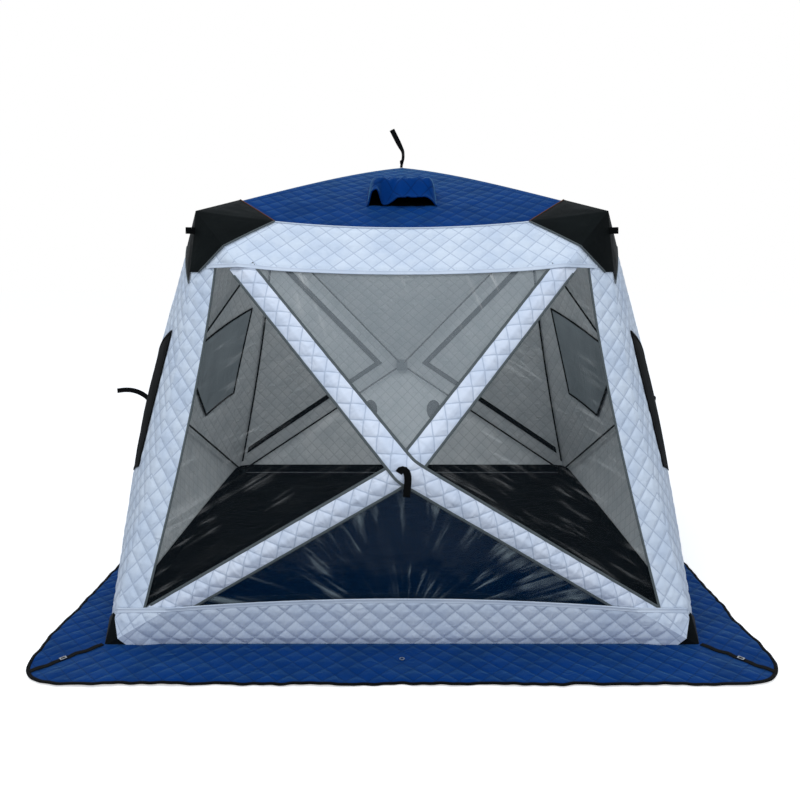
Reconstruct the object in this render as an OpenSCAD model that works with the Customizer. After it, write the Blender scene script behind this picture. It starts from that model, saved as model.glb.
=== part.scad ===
// Pop-up ice fishing hut with quilted walls, pull-out hubs and a clear front.
// The front wall faces -Y, +Z is up and the ground is z = 0. Sizes are in mm.

/* [Which pieces] */
// Piece to show, or all of them

/* [Frame] */
// Distance between neighbouring feet
base_w = 2300; // [1900:10:2700]
// Distance between neighbouring eave corners
top_w = 1750; // [1400:10:2000]
// Height of the eave corners
eave_h = 1700; // [1400:10:2000]
// How far the roof's peak stands above the eave corners
roof_rise = 300; // [200:5:450]
// Height of the hubs in the walls
hub_h = 735; // [550:5:950]
// How far each wall hub stands out from the line between foot and eave
hub_out = 340; // [200:5:420]
// Diameter of the poles
pole_d = 11; // [8:0.5:14]

/* [Fabric] */
// Thickness of the quilted fabric
quilt_t = 6; // [4:0.5:10]
// Thickness of the clear film and the mesh
film_t = 1.5; // [1:0.1:3]
// Thickness of the webbing and the corner pockets
web_t = 2; // [1:0.1:3]
// Width of the webbing
web_w = 25; // [15:1:40]
// Thickness of the floor
floor_t = 3; // [2:0.5:6]
// Width of the skirt on the ground, in front and behind
skirt_w = 275; // [150:5:350]
// Width of the skirt on the ground, at the sides
skirt_side = 230; // [150:5:350]
// Radius of the skirt's corners
skirt_r = 170; // [40:5:190]

/* [Front wall] */
// Depth of the top band below the eave corners
band_h = 250; // [150:5:350]
// Height of the upper edge of the sill
sill_z = 185; // [120:5:260]
// Width of the strips beside the corners
side_w = 135; // [90:5:180]
// Half the width of the crossing strips
cross_w = 45; // [30:1:60]

/* [Corner pockets] */
// Length of an eave pocket along the eave
pocket_eave = 334; // [250:2:400]
// Length of an eave pocket along the roof's hip
pocket_hip = 226; // [150:2:300]
// Length of an eave pocket along a pole of the wall
pocket_pole = 217; // [150:1:300]
// Length of an eave pocket down the corner
pocket_down = 314; // [200:2:400]
// Length of a foot pocket each way
pocket_foot = 120; // [80:2:180]

/* [Vent and hardware] */
// Width of the vent hood
hood_w = 316; // [220:4:420]
// Length of the vent hood along the roof
hood_l = 250; // [150:5:300]
// Distance from the eave to the hood's open edge
hood_at = 205; // [60:5:300]
// Height of the hood's open edge
hood_up = 84; // [40:2:110]
// Distance from the wall to the grommets and corner rings
stake_out = 115; // [60:5:180]
// Radius of a grommet's hole
grommet_r = 5.5; // [4:0.25:8]

/* [Hidden] */
$fn = 48;
gap = 0.5; // between pieces in one layer
lift = 0.4; // between layers
fit = 0.3; // round a pole in its socket
zip_w = 36;
zip_at = 97; // from a pole to the near side of a zip
hub_size = 76;
hub_t = 30;
cup_r = 26;
cup_h = 42;
knuckle_r = 24;
knuckle_in = 36; // knuckle's centre in and down from the eave corner
pull_l = 130; // hanging pull straps
reach_l = 215; // pull straps that stand out
loop_l = 45;
vent_u = 230; // oval vents in the back wall, either side of the middle
vent_z = 418;
// Side window outline on one half of a wall: out from the middle, and up
window_pts = [[842, 1190], [334, 995], [368, 775], [587, 512], [865, 606]];
window_rise = 965; // rise from hub to eave that this outline is drawn for
window_k = 0.9982; // window's size in its hole

apex_h = eave_h + roof_rise;
draw = (base_w - top_w) / 2 / eave_h; // in per mm up, along a corner
band_z = eave_h - band_h;
hub_w = base_w / 2 - draw * hub_h + hub_out;
cup_in = cup_r + (cup_h + floor_t + 1) * draw + 0.56; // cup's centre in from the foot, each way
lean = (hub_w - base_w / 2) / hub_h; // out per mm up, from foot to hub
fall = (hub_w - top_w / 2) / (eave_h - hub_h); // in per mm up, from hub to eave
pitch = roof_rise / (top_w / 2);
hub_deep = hub_t / 2 + quilt_t + 3 + hub_size * 0.55 * max(lean, fall); // hub's centre behind the fabric
peak_deep = hub_t / 2 + quilt_t + 3 + hub_size * 0.5 * pitch;
seat = quilt_t * lean + 0.6; // skirt's edge out from the foot of the wall
slope_l = norm([top_w / 2, roof_rise]);
skirt_half = [base_w / 2 + skirt_side, base_w / 2 + skirt_w]; // across and along

white = [0.84, 0.88, 0.94];
blue = [0.1, 0.26, 0.53];
black = [0.05, 0.055, 0.06];
grey = [0.5, 0.53, 0.56];
clear = [0.6, 0.68, 0.74, 0.45];
steel = [0.7, 0.71, 0.73];

// ---- the frame's corners, l mm inside the fabric's outer face, in the front wall ----
function foot(s, l) = [s * (base_w / 2 - 0.9 * l), -(base_w / 2 - 0.9 * l), 0.5 * l];
function eave(s, l) = [s * (top_w / 2 - 0.7 * l), -(top_w / 2 - 0.7 * l), eave_h - 0.83 * l];
function hub(l) = [0, -(hub_w - 1.07 * l), hub_h];
function apex(l) = [0, 0, apex_h - 1.057 * l];

// The four facets of a wall and one of the roof, anticlockwise from outside
function facet(f, l) =
  f == "low" ? [foot(-1, l), foot(1, l), hub(l)] :
  f == "right" ? [foot(1, l), eave(1, l), hub(l)] :
  f == "high" ? [eave(1, l), eave(-1, l), hub(l)] :
  f == "left" ? [eave(-1, l), foot(-1, l), hub(l)] :
  [eave(-1, l), eave(1, l), apex(l)];

// ---- outlines on a facet, as shares of its three corners ----
function spot(t, p) = t[0] * p[0] + t[1] * p[1] + t[2] * p[2];
function reach(t, i) = norm(cross(t[1] - t[0], t[2] - t[0])) / norm(t[(i + 1) % 3] - t[(i + 2) % 3]);
// These give a side to keep: at least or at most d from the edge facing corner i, and above or below a height
function off(f, i, d) = let (t = facet(f, 0)) [for (k = [0:2]) (k == i ? reach(t, i) : 0) - d];
function near(f, i, d) = -off(f, i, d);
function above(f, z) = [for (p = facet(f, 0)) p[2] - z];
function below(f, z) = [for (p = facet(f, 0)) z - p[2]];
function cut(poly, side) = [for (i = [0:len(poly) - 1])
  let (p = poly[i], q = poly[(i + 1) % len(poly)], a = p * side, b = q * side)
  each concat(a >= 0 ? [p] : [], (a >= 0) != (b >= 0) ? [p + (q - p) * (a / (a - b))] : [])];
function cuts(poly, sides, n = 0) = n == len(sides) ? poly : cuts(cut(poly, sides[n]), sides, n + 1);
function piece(f, sides) = cuts([[1, 0, 0], [0, 1, 0], [0, 0, 1]],
  concat([for (i = [0:2]) off(f, i, gap / 2)], sides));
// The share of the corners at u along the wall and z up
function share(t, u, z) = let (a = t[0], b = t[1], c = t[2],
  d = (b[0] - a[0]) * (c[2] - a[2]) - (c[0] - a[0]) * (b[2] - a[2]),
  v = ((u - a[0]) * (c[2] - a[2]) - (c[0] - a[0]) * (z - a[2])) / d,
  w = ((b[0] - a[0]) * (z - a[2]) - (u - a[0]) * (b[2] - a[2])) / d) [1 - v - w, v, w];
function outline(f, pts) = [for (p = pts) share(facet(f, 0), p[0], p[1])];
function middle(pts) = [for (k = [0:1]) [for (p = pts) p[k]] * [for (p = pts) 1] / len(pts)];
function shrunk(pts, k) = [for (p = pts) middle(pts) + k * (p - middle(pts))];
function window() = [for (p = window_pts) [p[0], p[1] - max(0, p[1] - hub_h) * (1 - (eave_h - hub_h) / window_rise)]];
function flipped(pts) = [for (i = [len(pts) - 1:-1:0]) [-pts[i][0], pts[i][1]]];
function oval(u, z, a, b) = [for (k = [0:11]) [u + a * cos(30 * k), z + b * sin(30 * k)]];
function roof_spot(x, f) = [(1 - f - 2 * x / top_w) / 2, (1 - f + 2 * x / top_w) / 2, f];

// A flat piece on a facet, between two depths
module slab(f, poly, outer, inner) {
  n = len(poly);
  o = facet(f, outer);
  i = facet(f, inner);
  polyhedron(
    points = concat([for (p = poly) spot(o, p)], [for (p = poly) spot(i, p)]),
    faces = concat([[for (k = [n - 1:-1:0]) k]], [[for (k = [0:n - 1]) n + k]],
      [for (k = [0:n - 1]) [k, (k + 1) % n, n + (k + 1) % n]], [for (k = [0:n - 1]) [k, n + (k + 1) % n, n + k]]));
}
module quilt(f, sides) { slab(f, piece(f, sides), 0, quilt_t); }
module film(f, sides) { slab(f, piece(f, sides), quilt_t / 3, quilt_t / 3 + film_t); }
// Turns the front wall to side k: 0 front, 1 right, 2 back, 3 left
module wall(k) { rotate([0, 0, 90 * k]) children(); }

// ---- poles and their fittings ----
function hub_c() = [0, -(hub_w - hub_deep), hub_h];
function roof_c() = [0, 0, apex_h - peak_deep];
function cup_c(s) = [s * (base_w / 2 - cup_in), -(base_w / 2 - cup_in), floor_t + lift + cup_h / 2];
function knuckle_c(s) = [s * (top_w / 2 - knuckle_in), -(top_w / 2 - knuckle_in), eave_h - knuckle_in];
module rod(from, to, a, b, r) {
  d = to - from;
  l = norm(d);
  translate(from + d * (a / l))
    rotate([0, acos(d[2] / l), atan2(d[1], d[0])]) cylinder(r = r, h = l - a - b);
}
module wall_rods(a, b, r) {
  for (s = [-1, 1]) {
    rod(hub_c(), cup_c(s), a, b, r);
    rod(hub_c(), knuckle_c(s), a, b, r);
  }
}
module roof_rods(a, b, r) { for (k = [0:3]) wall(k) rod(roof_c(), knuckle_c(1), a, b, r); }
module wall_poles(k) { color(black) wall(k) wall_rods(26, 14, pole_d / 2); }
module front_poles() { wall_poles(0); }
module right_poles() { wall_poles(1); }
module back_poles() { wall_poles(2); }
module left_poles() { wall_poles(3); }
module roof_poles() { color(black) roof_rods(26, 14, pole_d / 2); }
module hubs() {
  color(grey) difference() {
    union() {
      for (k = [0:3]) wall(k) translate(hub_c()) cube([hub_size, hub_t, hub_size], center = true);
      translate(roof_c()) cube([hub_size, hub_size, hub_t], center = true);
    }
    for (k = [0:3]) wall(k) wall_rods(25, 300, pole_d / 2 + fit);
    roof_rods(25, 300, pole_d / 2 + fit);
  }
}
module foot_cups() {
  color(black) difference() {
    for (k = [0:3]) wall(k) translate(cup_c(1)) cylinder(r = cup_r, h = cup_h, center = true);
    for (k = [0:3]) wall(k) wall_rods(300, 13, pole_d / 2 + fit);
  }
}
module eave_knuckles() {
  color(black) difference() {
    for (k = [0:3]) wall(k) translate(knuckle_c(1)) sphere(r = knuckle_r);
    for (k = [0:3]) wall(k) wall_rods(300, 13, pole_d / 2 + fit);
    roof_rods(300, 13, pole_d / 2 + fit);
  }
}

// ---- front wall ----
g = gap / 2;
module front_valance() {
  color(white) {
    quilt("high", [above("high", band_z + g)]);
    quilt("left", [above("left", band_z + g)]);
    quilt("right", [above("right", band_z + g)]);
  }
}
module front_sill() {
  color(white) {
    quilt("low", [below("low", sill_z - g)]);
    quilt("left", [below("left", sill_z - g)]);
    quilt("right", [below("right", sill_z - g)]);
  }
}
function span(f) = [above(f, sill_z + g), below(f, band_z - g)];
module front_side_strips() {
  color(white) {
    quilt("left", concat(span("left"), [near("left", 2, side_w - g), off("left", 1, cross_w + g), off("left", 0, cross_w + g)]));
    quilt("right", concat(span("right"), [near("right", 2, side_w - g), off("right", 0, cross_w + g), off("right", 1, cross_w + g)]));
  }
}
// The strip from upper left to lower right is whole, and the other passes under it
module front_cross_over() {
  color(white) {
    quilt("left", concat(span("left"), [near("left", 1, cross_w - g)]));
    quilt("high", concat(span("high"), [near("high", 0, cross_w - g)]));
    quilt("right", concat(span("right"), [near("right", 1, cross_w - g)]));
    quilt("low", concat(span("low"), [near("low", 0, cross_w - g)]));
  }
}
module front_cross_under() {
  color(white) {
    quilt("left", concat(span("left"), [near("left", 0, cross_w - g), off("left", 1, cross_w + g)]));
    quilt("high", concat(span("high"), [near("high", 1, cross_w - g), off("high", 0, cross_w + g)]));
    quilt("right", concat(span("right"), [near("right", 0, cross_w - g), off("right", 1, cross_w + g)]));
    quilt("low", concat(span("low"), [near("low", 1, cross_w - g), off("low", 0, cross_w + g)]));
  }
}
function pane(f) = concat(span(f), [off(f, 0, cross_w + g), off(f, 1, cross_w + g)]);
module front_window_top() { color(clear) film("high", pane("high")); }
module front_window_left() { color(clear) film("left", concat(pane("left"), [off("left", 2, side_w + g)])); }
module front_window_right() { color(clear) film("right", concat(pane("right"), [off("right", 2, side_w + g)])); }
module front_window_bottom() { color(clear) film("low", pane("low")); }

// ---- back wall ----
module back_top_panel() { color(white) wall(2) quilt("high", []); }
module back_bottom_panel() {
  color(white) wall(2) difference() {
    quilt("low", []);
    for (s = [-1, 1]) slab("low", outline("low", oval(s * vent_u, vent_z, 45, 62)), -4, quilt_t + 4);
  }
}
module back_vents() {
  color(black) wall(2) for (s = [-1, 1])
    slab("low", outline("low", oval(s * vent_u, vent_z, 44.5, 61.5)), quilt_t / 3, quilt_t / 3 + film_t);
}
module back_left_door() { color(white) wall(2) quilt("right", []); }
module back_right_door() { color(white) wall(2) quilt("left", []); }
module back_zips() {
  color(black) wall(2) for (f = ["left", "right"]) {
    slab(f, piece(f, [off(f, 2, 60), off(f, 0, zip_at), off(f, 1, zip_at), near(f, 1, zip_at + zip_w)]), quilt_t + lift, quilt_t + lift + web_t);
    slab(f, piece(f, [off(f, 2, 60), off(f, 0, zip_at), near(f, 0, zip_at + zip_w), off(f, 1, zip_at + zip_w + gap)]), quilt_t + lift, quilt_t + lift + web_t);
  }
}

// ---- side walls ----
module plain_panels(k) { color(white) wall(k) { quilt("low", []); quilt("high", []); } }
module window_panels(k) {
  color(white) wall(k) {
    difference() { quilt("right", []); slab("right", outline("right", window()), -4, quilt_t + 4); }
    difference() { quilt("left", []); slab("left", outline("left", flipped(window())), -4, quilt_t + 4); }
  }
}
module windows(k) {
  color(black) wall(k) {
    slab("right", outline("right", shrunk(window(), window_k)), quilt_t / 3, quilt_t / 3 + film_t);
    slab("left", outline("left", shrunk(flipped(window()), window_k)), quilt_t / 3, quilt_t / 3 + film_t);
  }
}
module left_plain_panels() { plain_panels(3); }
module right_plain_panels() { plain_panels(1); }
module left_window_panels() { window_panels(3); }
module right_window_panels() { window_panels(1); }
module left_windows() { windows(3); }
module right_windows() { windows(1); }

// ---- roof ----
f1 = hood_at / slope_l;
f2 = (hood_at + hood_l) / slope_l;
function vent_hole(e) = [roof_spot(-hood_w / 2 + 40 + e, f1 + (25 + e) / slope_l), roof_spot(hood_w / 2 - 40 - e, f1 + (25 + e) / slope_l),
  roof_spot(hood_w / 2 - 40 - e, f2 - (35 + e) / slope_l), roof_spot(-hood_w / 2 + 40 + e, f2 - (35 + e) / slope_l)];
module roof_front() {
  color(blue) difference() {
    quilt("roof", []);
    slab("roof", vent_hole(0), -4, quilt_t + 4);
  }
}
module vent_mesh() { color(black) slab("roof", vent_hole(gap), quilt_t / 3, quilt_t / 3 + film_t); }
module roof_right() { color(blue) wall(1) quilt("roof", []); }
module roof_back() { color(blue) wall(2) quilt("roof", []); }
module roof_left() { color(blue) wall(3) quilt("roof", []); }
function on_roof(x, f, up) = spot(facet("roof", -lift), roof_spot(x, f)) + [0, 0, up];
// A solid between two outlines of four points or of three
module loft(p, q) {
  n = len(p);
  polyhedron(points = concat(p, q), faces = concat([[for (k = [n - 1:-1:0]) k]], [[for (k = [0:n - 1]) n + k]],
    [for (k = [0:n - 1]) [k, (k + 1) % n, n + (k + 1) % n]], [for (k = [0:n - 1]) [k, n + (k + 1) % n, n + k]]));
}
module vent_hood() {
  x = hood_w / 2;
  e = 12 / slope_l;
  color(blue) {
    loft([on_roof(-x, f1, hood_up + quilt_t), on_roof(x, f1, hood_up + quilt_t), on_roof(x, f2, quilt_t), on_roof(-x, f2, quilt_t)],
      [on_roof(-x, f1, hood_up), on_roof(x, f1, hood_up), on_roof(x, f2, 0), on_roof(-x, f2, 0)]);
    for (s = [-1, 1]) {
      a = s > 0 ? x : -x + web_t;
      loft([on_roof(a, f1, 0), on_roof(a, f2 - e, 0), on_roof(a, f1, hood_up - gap)],
        [on_roof(a - web_t, f1, 0), on_roof(a - web_t, f2 - e, 0), on_roof(a - web_t, f1, hood_up - gap)]);
    }
  }
}

// ---- corner pockets, one layer out from the fabric ----
eave_l = norm(eave(1, 0) - eave(-1, 0));
hip_l = norm(apex(0) - eave(1, 0));
rib_l = norm(hub(0) - eave(1, 0));
post_l = norm(eave(1, 0) - foot(1, 0));
stay_l = norm(hub(0) - foot(1, 0));
function corner(f, poly) = cuts(poly, [for (i = [0:2]) off(f, i, gap / 2)]);
// A pocket's share of one facet
module patch(f, poly) { slab(f, corner(f, poly), -lift - web_t, -lift); }
module corner_pockets() {
  a = pocket_eave / eave_l;
  b = pocket_pole / rib_l;
  c = pocket_down / post_l;
  d = pocket_hip / hip_l;
  color(black) for (k = [0:3]) wall(k) {
    patch("high", [[1, 0, 0], [1 - a, a, 0], [1 - b, 0, b]]);
    patch("high", [[0, 1, 0], [0, 1 - b, b], [a, 1 - a, 0]]);
    patch("right", [[c, 1 - c, 0], [0, 1, 0], [0, 1 - b, b]]);
    patch("left", [[1, 0, 0], [1 - c, c, 0], [1 - b, 0, b]]);
    patch("roof", [[1, 0, 0], [1 - a, a, 0], [1 - d, 0, d]]);
    patch("roof", [[a, 1 - a, 0], [0, 1, 0], [0, 1 - d, d]]);
  }
}
module foot_pockets() {
  a = pocket_foot / base_w;
  b = pocket_foot / stay_l;
  c = pocket_foot / post_l;
  z = quilt_t + 2;
  color(black) for (k = [0:3]) wall(k) {
    slab("low", cut(corner("low", [[1, 0, 0], [1 - a, a, 0], [1 - b, 0, b]]), above("low", z)), -lift - web_t, -lift);
    slab("low", cut(corner("low", [[a, 1 - a, 0], [0, 1, 0], [0, 1 - b, b]]), above("low", z)), -lift - web_t, -lift);
    slab("right", cut(corner("right", [[1, 0, 0], [1 - c, c, 0], [1 - b, 0, b]]), above("right", z)), -lift - web_t, -lift);
    slab("left", cut(corner("left", [[c, 1 - c, 0], [0, 1, 0], [0, 1 - b, b]]), above("left", z)), -lift - web_t, -lift);
  }
}

// ---- skirt and its hardware ----
stake = base_w / 2 + stake_out;
module skirt() {
  i = base_w / 2 + seat;
  far = i + 2 * max(skirt_w, skirt_side);
  color(blue) for (k = [0:3]) wall(k) difference() {
    o = k % 2 == 0 ? skirt_half : [skirt_half.y, skirt_half.x];
    linear_extrude(quilt_t) intersection() {
      polygon([[-i + gap, -i], [i - gap, -i], [far - gap, -far], [-far + gap, -far]]);
      union() {
        square([2 * o.x, 2 * (o.y - skirt_r)], center = true);
        square([2 * (o.x - skirt_r), 2 * o.y], center = true);
        for (s = [-1, 1]) translate([s * (o.x - skirt_r), -(o.y - skirt_r)]) circle(skirt_r);
      }
    }
    translate([0, -stake, -1]) cylinder(r = grommet_r + 2, h = quilt_t + 2);
  }
}
module grommets() {
  color(steel) for (k = [0:3]) wall(k) translate([0, -stake, 0]) difference() {
    union() {
      translate([0, 0, 0.6]) cylinder(r = grommet_r + 1.6, h = quilt_t + 0.2);
      translate([0, 0, quilt_t + fit]) cylinder(r = grommet_r + 5, h = 1.5);
    }
    cylinder(r = grommet_r, h = quilt_t + 3);
  }
}
strap_a = norm([base_w / 2 + 10, base_w / 2 + 10]);
bend = skirt_half - [skirt_r, skirt_r]; // centre of the skirt's rounded corner
strap_b = (bend.x + bend.y + sqrt(max(0, 2 * skirt_r * skirt_r - pow(bend.x - bend.y, 2)))) / sqrt(2) - 6;
module skirt_straps() {
  color(black) for (k = [0:3]) rotate([0, 0, 45 + 90 * k])
    translate([strap_a, -web_w / 2, quilt_t + lift]) cube([strap_b - strap_a, web_w, web_t]);
}
module corner_rings() {
  r = norm([stake, stake]);
  color(steel) for (k = [0:3]) rotate([0, 0, 45 + 90 * k])
    translate([r, 0, quilt_t + 2 * lift + web_t + 1]) difference() {
      cube([24, 18, web_t], center = true);
      cube([15, 9, 2 * web_t], center = true);
    }
}
floor_half = base_w / 2 - 0.9 * quilt_t - gap;
module floor() {
  color(black) translate([-floor_half, -floor_half, 0]) cube([2 * floor_half, 2 * floor_half, floor_t]);
}

// ---- webbing ----
module hanging_pull() {
  slab("low", outline("low", [[-web_w / 2, hub_h - pull_l], [web_w / 2, hub_h - pull_l], [web_w / 2, hub_h - 10], [-web_w / 2, hub_h - 10]]), -lift - web_t, -lift);
}
module pull_straps() {
  color(black) {
    for (k = [0:2]) wall(k) hanging_pull();
    wall(3) translate(hub(0) + [-web_w / 2, -0.6, -web_t / 2]) rotate([-13, 0, 0]) translate([0, -reach_l, 0]) cube([web_w, reach_l, web_t]);
    translate([0, 0, apex_h + 0.6]) rotate([0, -15, 0]) translate([-web_t / 2, -web_w / 2, 0]) cube([web_t, web_w, reach_l]);
  }
}
module corner_loops() {
  p = eave(1, -lift - web_t) + (foot(1, 0) - eave(1, 0)) * (80 / post_l);
  color(black) for (k = [0:3]) wall(k) translate(p + (10 * draw + 0.3) * [1, -1, 0]) rotate([0, 0, -45]) translate([0, -web_t / 2, -10]) cube([loop_l, web_t, 20]);
}

hubs();
eave_knuckles();
foot_cups();
front_poles();
right_poles();
back_poles();
left_poles();
roof_poles();
front_valance();
front_sill();
front_side_strips();
front_cross_over();
front_cross_under();
front_window_top();
front_window_left();
front_window_right();
front_window_bottom();
back_top_panel();
back_bottom_panel();
back_left_door();
back_right_door();
back_zips();
back_vents();
left_plain_panels();
left_window_panels();
left_windows();
right_plain_panels();
right_window_panels();
right_windows();
roof_front();
roof_right();
roof_back();
roof_left();
corner_pockets();
foot_pockets();
skirt();
skirt_straps();
grommets();
corner_rings();
floor();
vent_hood();
vent_mesh();
pull_straps();
corner_loops();
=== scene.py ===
"""Looks of a pop-up ice fishing hut.

It has quilted walls on hub frames, a clear front, a hooded roof vent and a ground skirt. Every cloth piece is worked
out from the same folded frame, so neighbouring pieces share their seams. Lengths are in metres.
"""

import logging
import math
from collections.abc import Callable, Mapping, Sequence
from dataclasses import dataclass
from enum import Enum, IntEnum
from typing import Any

import bpy
import numpy as np
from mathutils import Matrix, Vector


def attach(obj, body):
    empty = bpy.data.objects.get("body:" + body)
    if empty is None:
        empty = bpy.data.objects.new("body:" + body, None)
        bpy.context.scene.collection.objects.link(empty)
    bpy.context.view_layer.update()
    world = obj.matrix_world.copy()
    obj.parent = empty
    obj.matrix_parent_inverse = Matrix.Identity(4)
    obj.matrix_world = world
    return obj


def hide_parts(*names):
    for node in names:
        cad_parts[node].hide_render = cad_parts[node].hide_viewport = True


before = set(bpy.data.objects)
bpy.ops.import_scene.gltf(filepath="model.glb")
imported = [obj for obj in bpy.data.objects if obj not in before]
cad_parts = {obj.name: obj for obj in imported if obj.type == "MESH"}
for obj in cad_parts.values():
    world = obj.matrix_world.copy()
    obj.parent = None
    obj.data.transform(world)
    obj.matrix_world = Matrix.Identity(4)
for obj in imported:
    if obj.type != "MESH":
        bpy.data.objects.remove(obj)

Array = np.ndarray
Pairs = Sequence[tuple[float, float]]
Tree = bpy.types.NodeTree
Socket = bpy.types.NodeSocket
log = logging.getLogger("ice_fishing_hut")

DIAMOND = 0.0806  # across one stitched diamond, from corner to corner
CELLS = 8  # mesh cells across a diamond, so that stitch lines fall on cell diagonals
STEP = DIAMOND / CELLS
STITCH_ROW = DIAMOND / math.sqrt(2)  # between neighbouring stitch lines
PATH_STEP = 0.012  # between places along a seam
LOWEST = 0.0005  # of the cloth on the walls, so that none sinks into the ground
SIDES = ("front", "right", "back", "left")
UPWARDS = np.array([[0.0, 0.0, 1.0]])


class Seed(IntEnum):
    """The first seed of each group of pieces, which fixes their chance waves."""

    WALL_LINING = 7
    ROOF = 10
    ROOF_LINING = 31
    WINDOW = 60
    WALL = 100
    VALANCE = 200
    SILL = 230
    SIDE_STRIP = 260
    CROSS_STRIP = 280
    CROSS_PUCKER = 290
    PANE = 300
    PANE_FOLD = 310
    EAVE_POCKET = 400
    FOOT_POCKET = 450
    SKIRT = 500
    SKIRT_PADDING = 505
    SKIRT_EDGE = 510
    GROUND_CLOTH = 520
    HOOD = 600
    HOOD_PADDING = 610


# ---- the folded frame


class Face(Enum):
    """The triangles of a wall and of the roof, by their corners, anticlockwise from outside."""

    LOW = ("foot_left", "foot_right", "hub")
    RIGHT = ("foot_right", "eave_right", "hub")
    HIGH = ("eave_right", "eave_left", "hub")
    LEFT = ("eave_left", "foot_left", "hub")
    ROOF = ("eave_left", "eave_right", "peak")


WALL_FACES = (Face.LOW, Face.RIGHT, Face.HIGH, Face.LEFT)


def unit(v: Array) -> Array:
    """Vectors divided by their lengths."""
    return v / np.maximum(np.linalg.norm(v, axis=-1, keepdims=True), 1e-12)


def ease(x: Array | float, low: float, high: float) -> Array:
    """0 below low and 1 above high, with a smooth cubic step between."""
    t = np.clip((np.asarray(x, float) - low) / (high - low), 0, 1)
    return t * t * (3 - 2 * t)


def turned(points: Array, wall: int) -> Array:
    """Points of the front wall turned by quarter turns to another wall."""
    c, s = ((1, 0), (0, 1), (-1, 0), (0, -1))[wall]
    return points @ np.array([[c, s, 0], [-s, c, 0], [0, 0, 1]], float)


@dataclass(frozen=True)
class Plane:
    """The flat triangle that one face is cut from, with its own axes: right, up the slope, and out."""

    origin: Array
    right: Array
    up: Array
    out: Array
    shares: Array  # rows turn (u, v, 1) into the shares of the three corners
    heights: Array  # distance of each corner from the edge that faces it
    outline: Array

    @classmethod
    def through(cls, corners: Array) -> "Plane":
        """The plane through three corners, with its origin at the third.

        Args:
            corners: three points, anticlockwise from outside.

        Returns:
            The plane, whose up axis climbs as steeply as it can.
        """
        out = unit(np.cross(corners[1] - corners[0], corners[2] - corners[0]))
        z = np.array([0.0, 0.0, 1.0])
        up = unit(z - out * out[2])
        right = np.cross(up, out)
        outline = (corners - corners[2]) @ np.array([right, up]).T
        shares = np.linalg.inv(np.vstack([outline.T, np.ones(3)]))
        return cls(corners[2], right, up, out, shares, 1 / np.linalg.norm(shares[:, :2], axis=1), outline)

    def share(self, uv: Array) -> Array:
        """Shares of the three corners at flat places."""
        return uv @ self.shares[:, :2].T + self.shares[:, 2]

    def edge(self, corner: int) -> Array:
        """Coefficients of the distance from the edge that faces a corner."""
        return self.shares[corner] * self.heights[corner]

    def level(self, z: float) -> float:
        """The v of a height above the ground."""
        return (z - self.origin[2]) / self.up[2]

    def height(self) -> Array:
        """Coefficients of the height above the ground."""
        return np.array([0.0, self.up[2], self.origin[2]])


def value_at(side: Array, places: Array) -> Array:
    """a·u + b·v + c at flat places (u, v)."""
    return places @ side[:2] + side[2]


def trimmed(outline: Array, side: Array, least: float) -> Array:
    """The part of a convex outline where a·u + b·v + c is at least the given value.

    Args:
        outline: corners of the outline, in order.
        side: the coefficients a, b and c.
        least: the smallest value that stays.

    Returns:
        The corners that are left, with new ones where the edges cross.
    """
    kept = []
    value = value_at(side, outline) - least
    for i, p in enumerate(outline):
        j = (i + 1) % len(outline)
        if value[i] >= 0:
            kept.append(p)
        if (value[i] >= 0) != (value[j] >= 0):
            kept.append(p + (outline[j] - p) * value[i] / (value[i] - value[j]))
    return np.array(kept)


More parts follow.
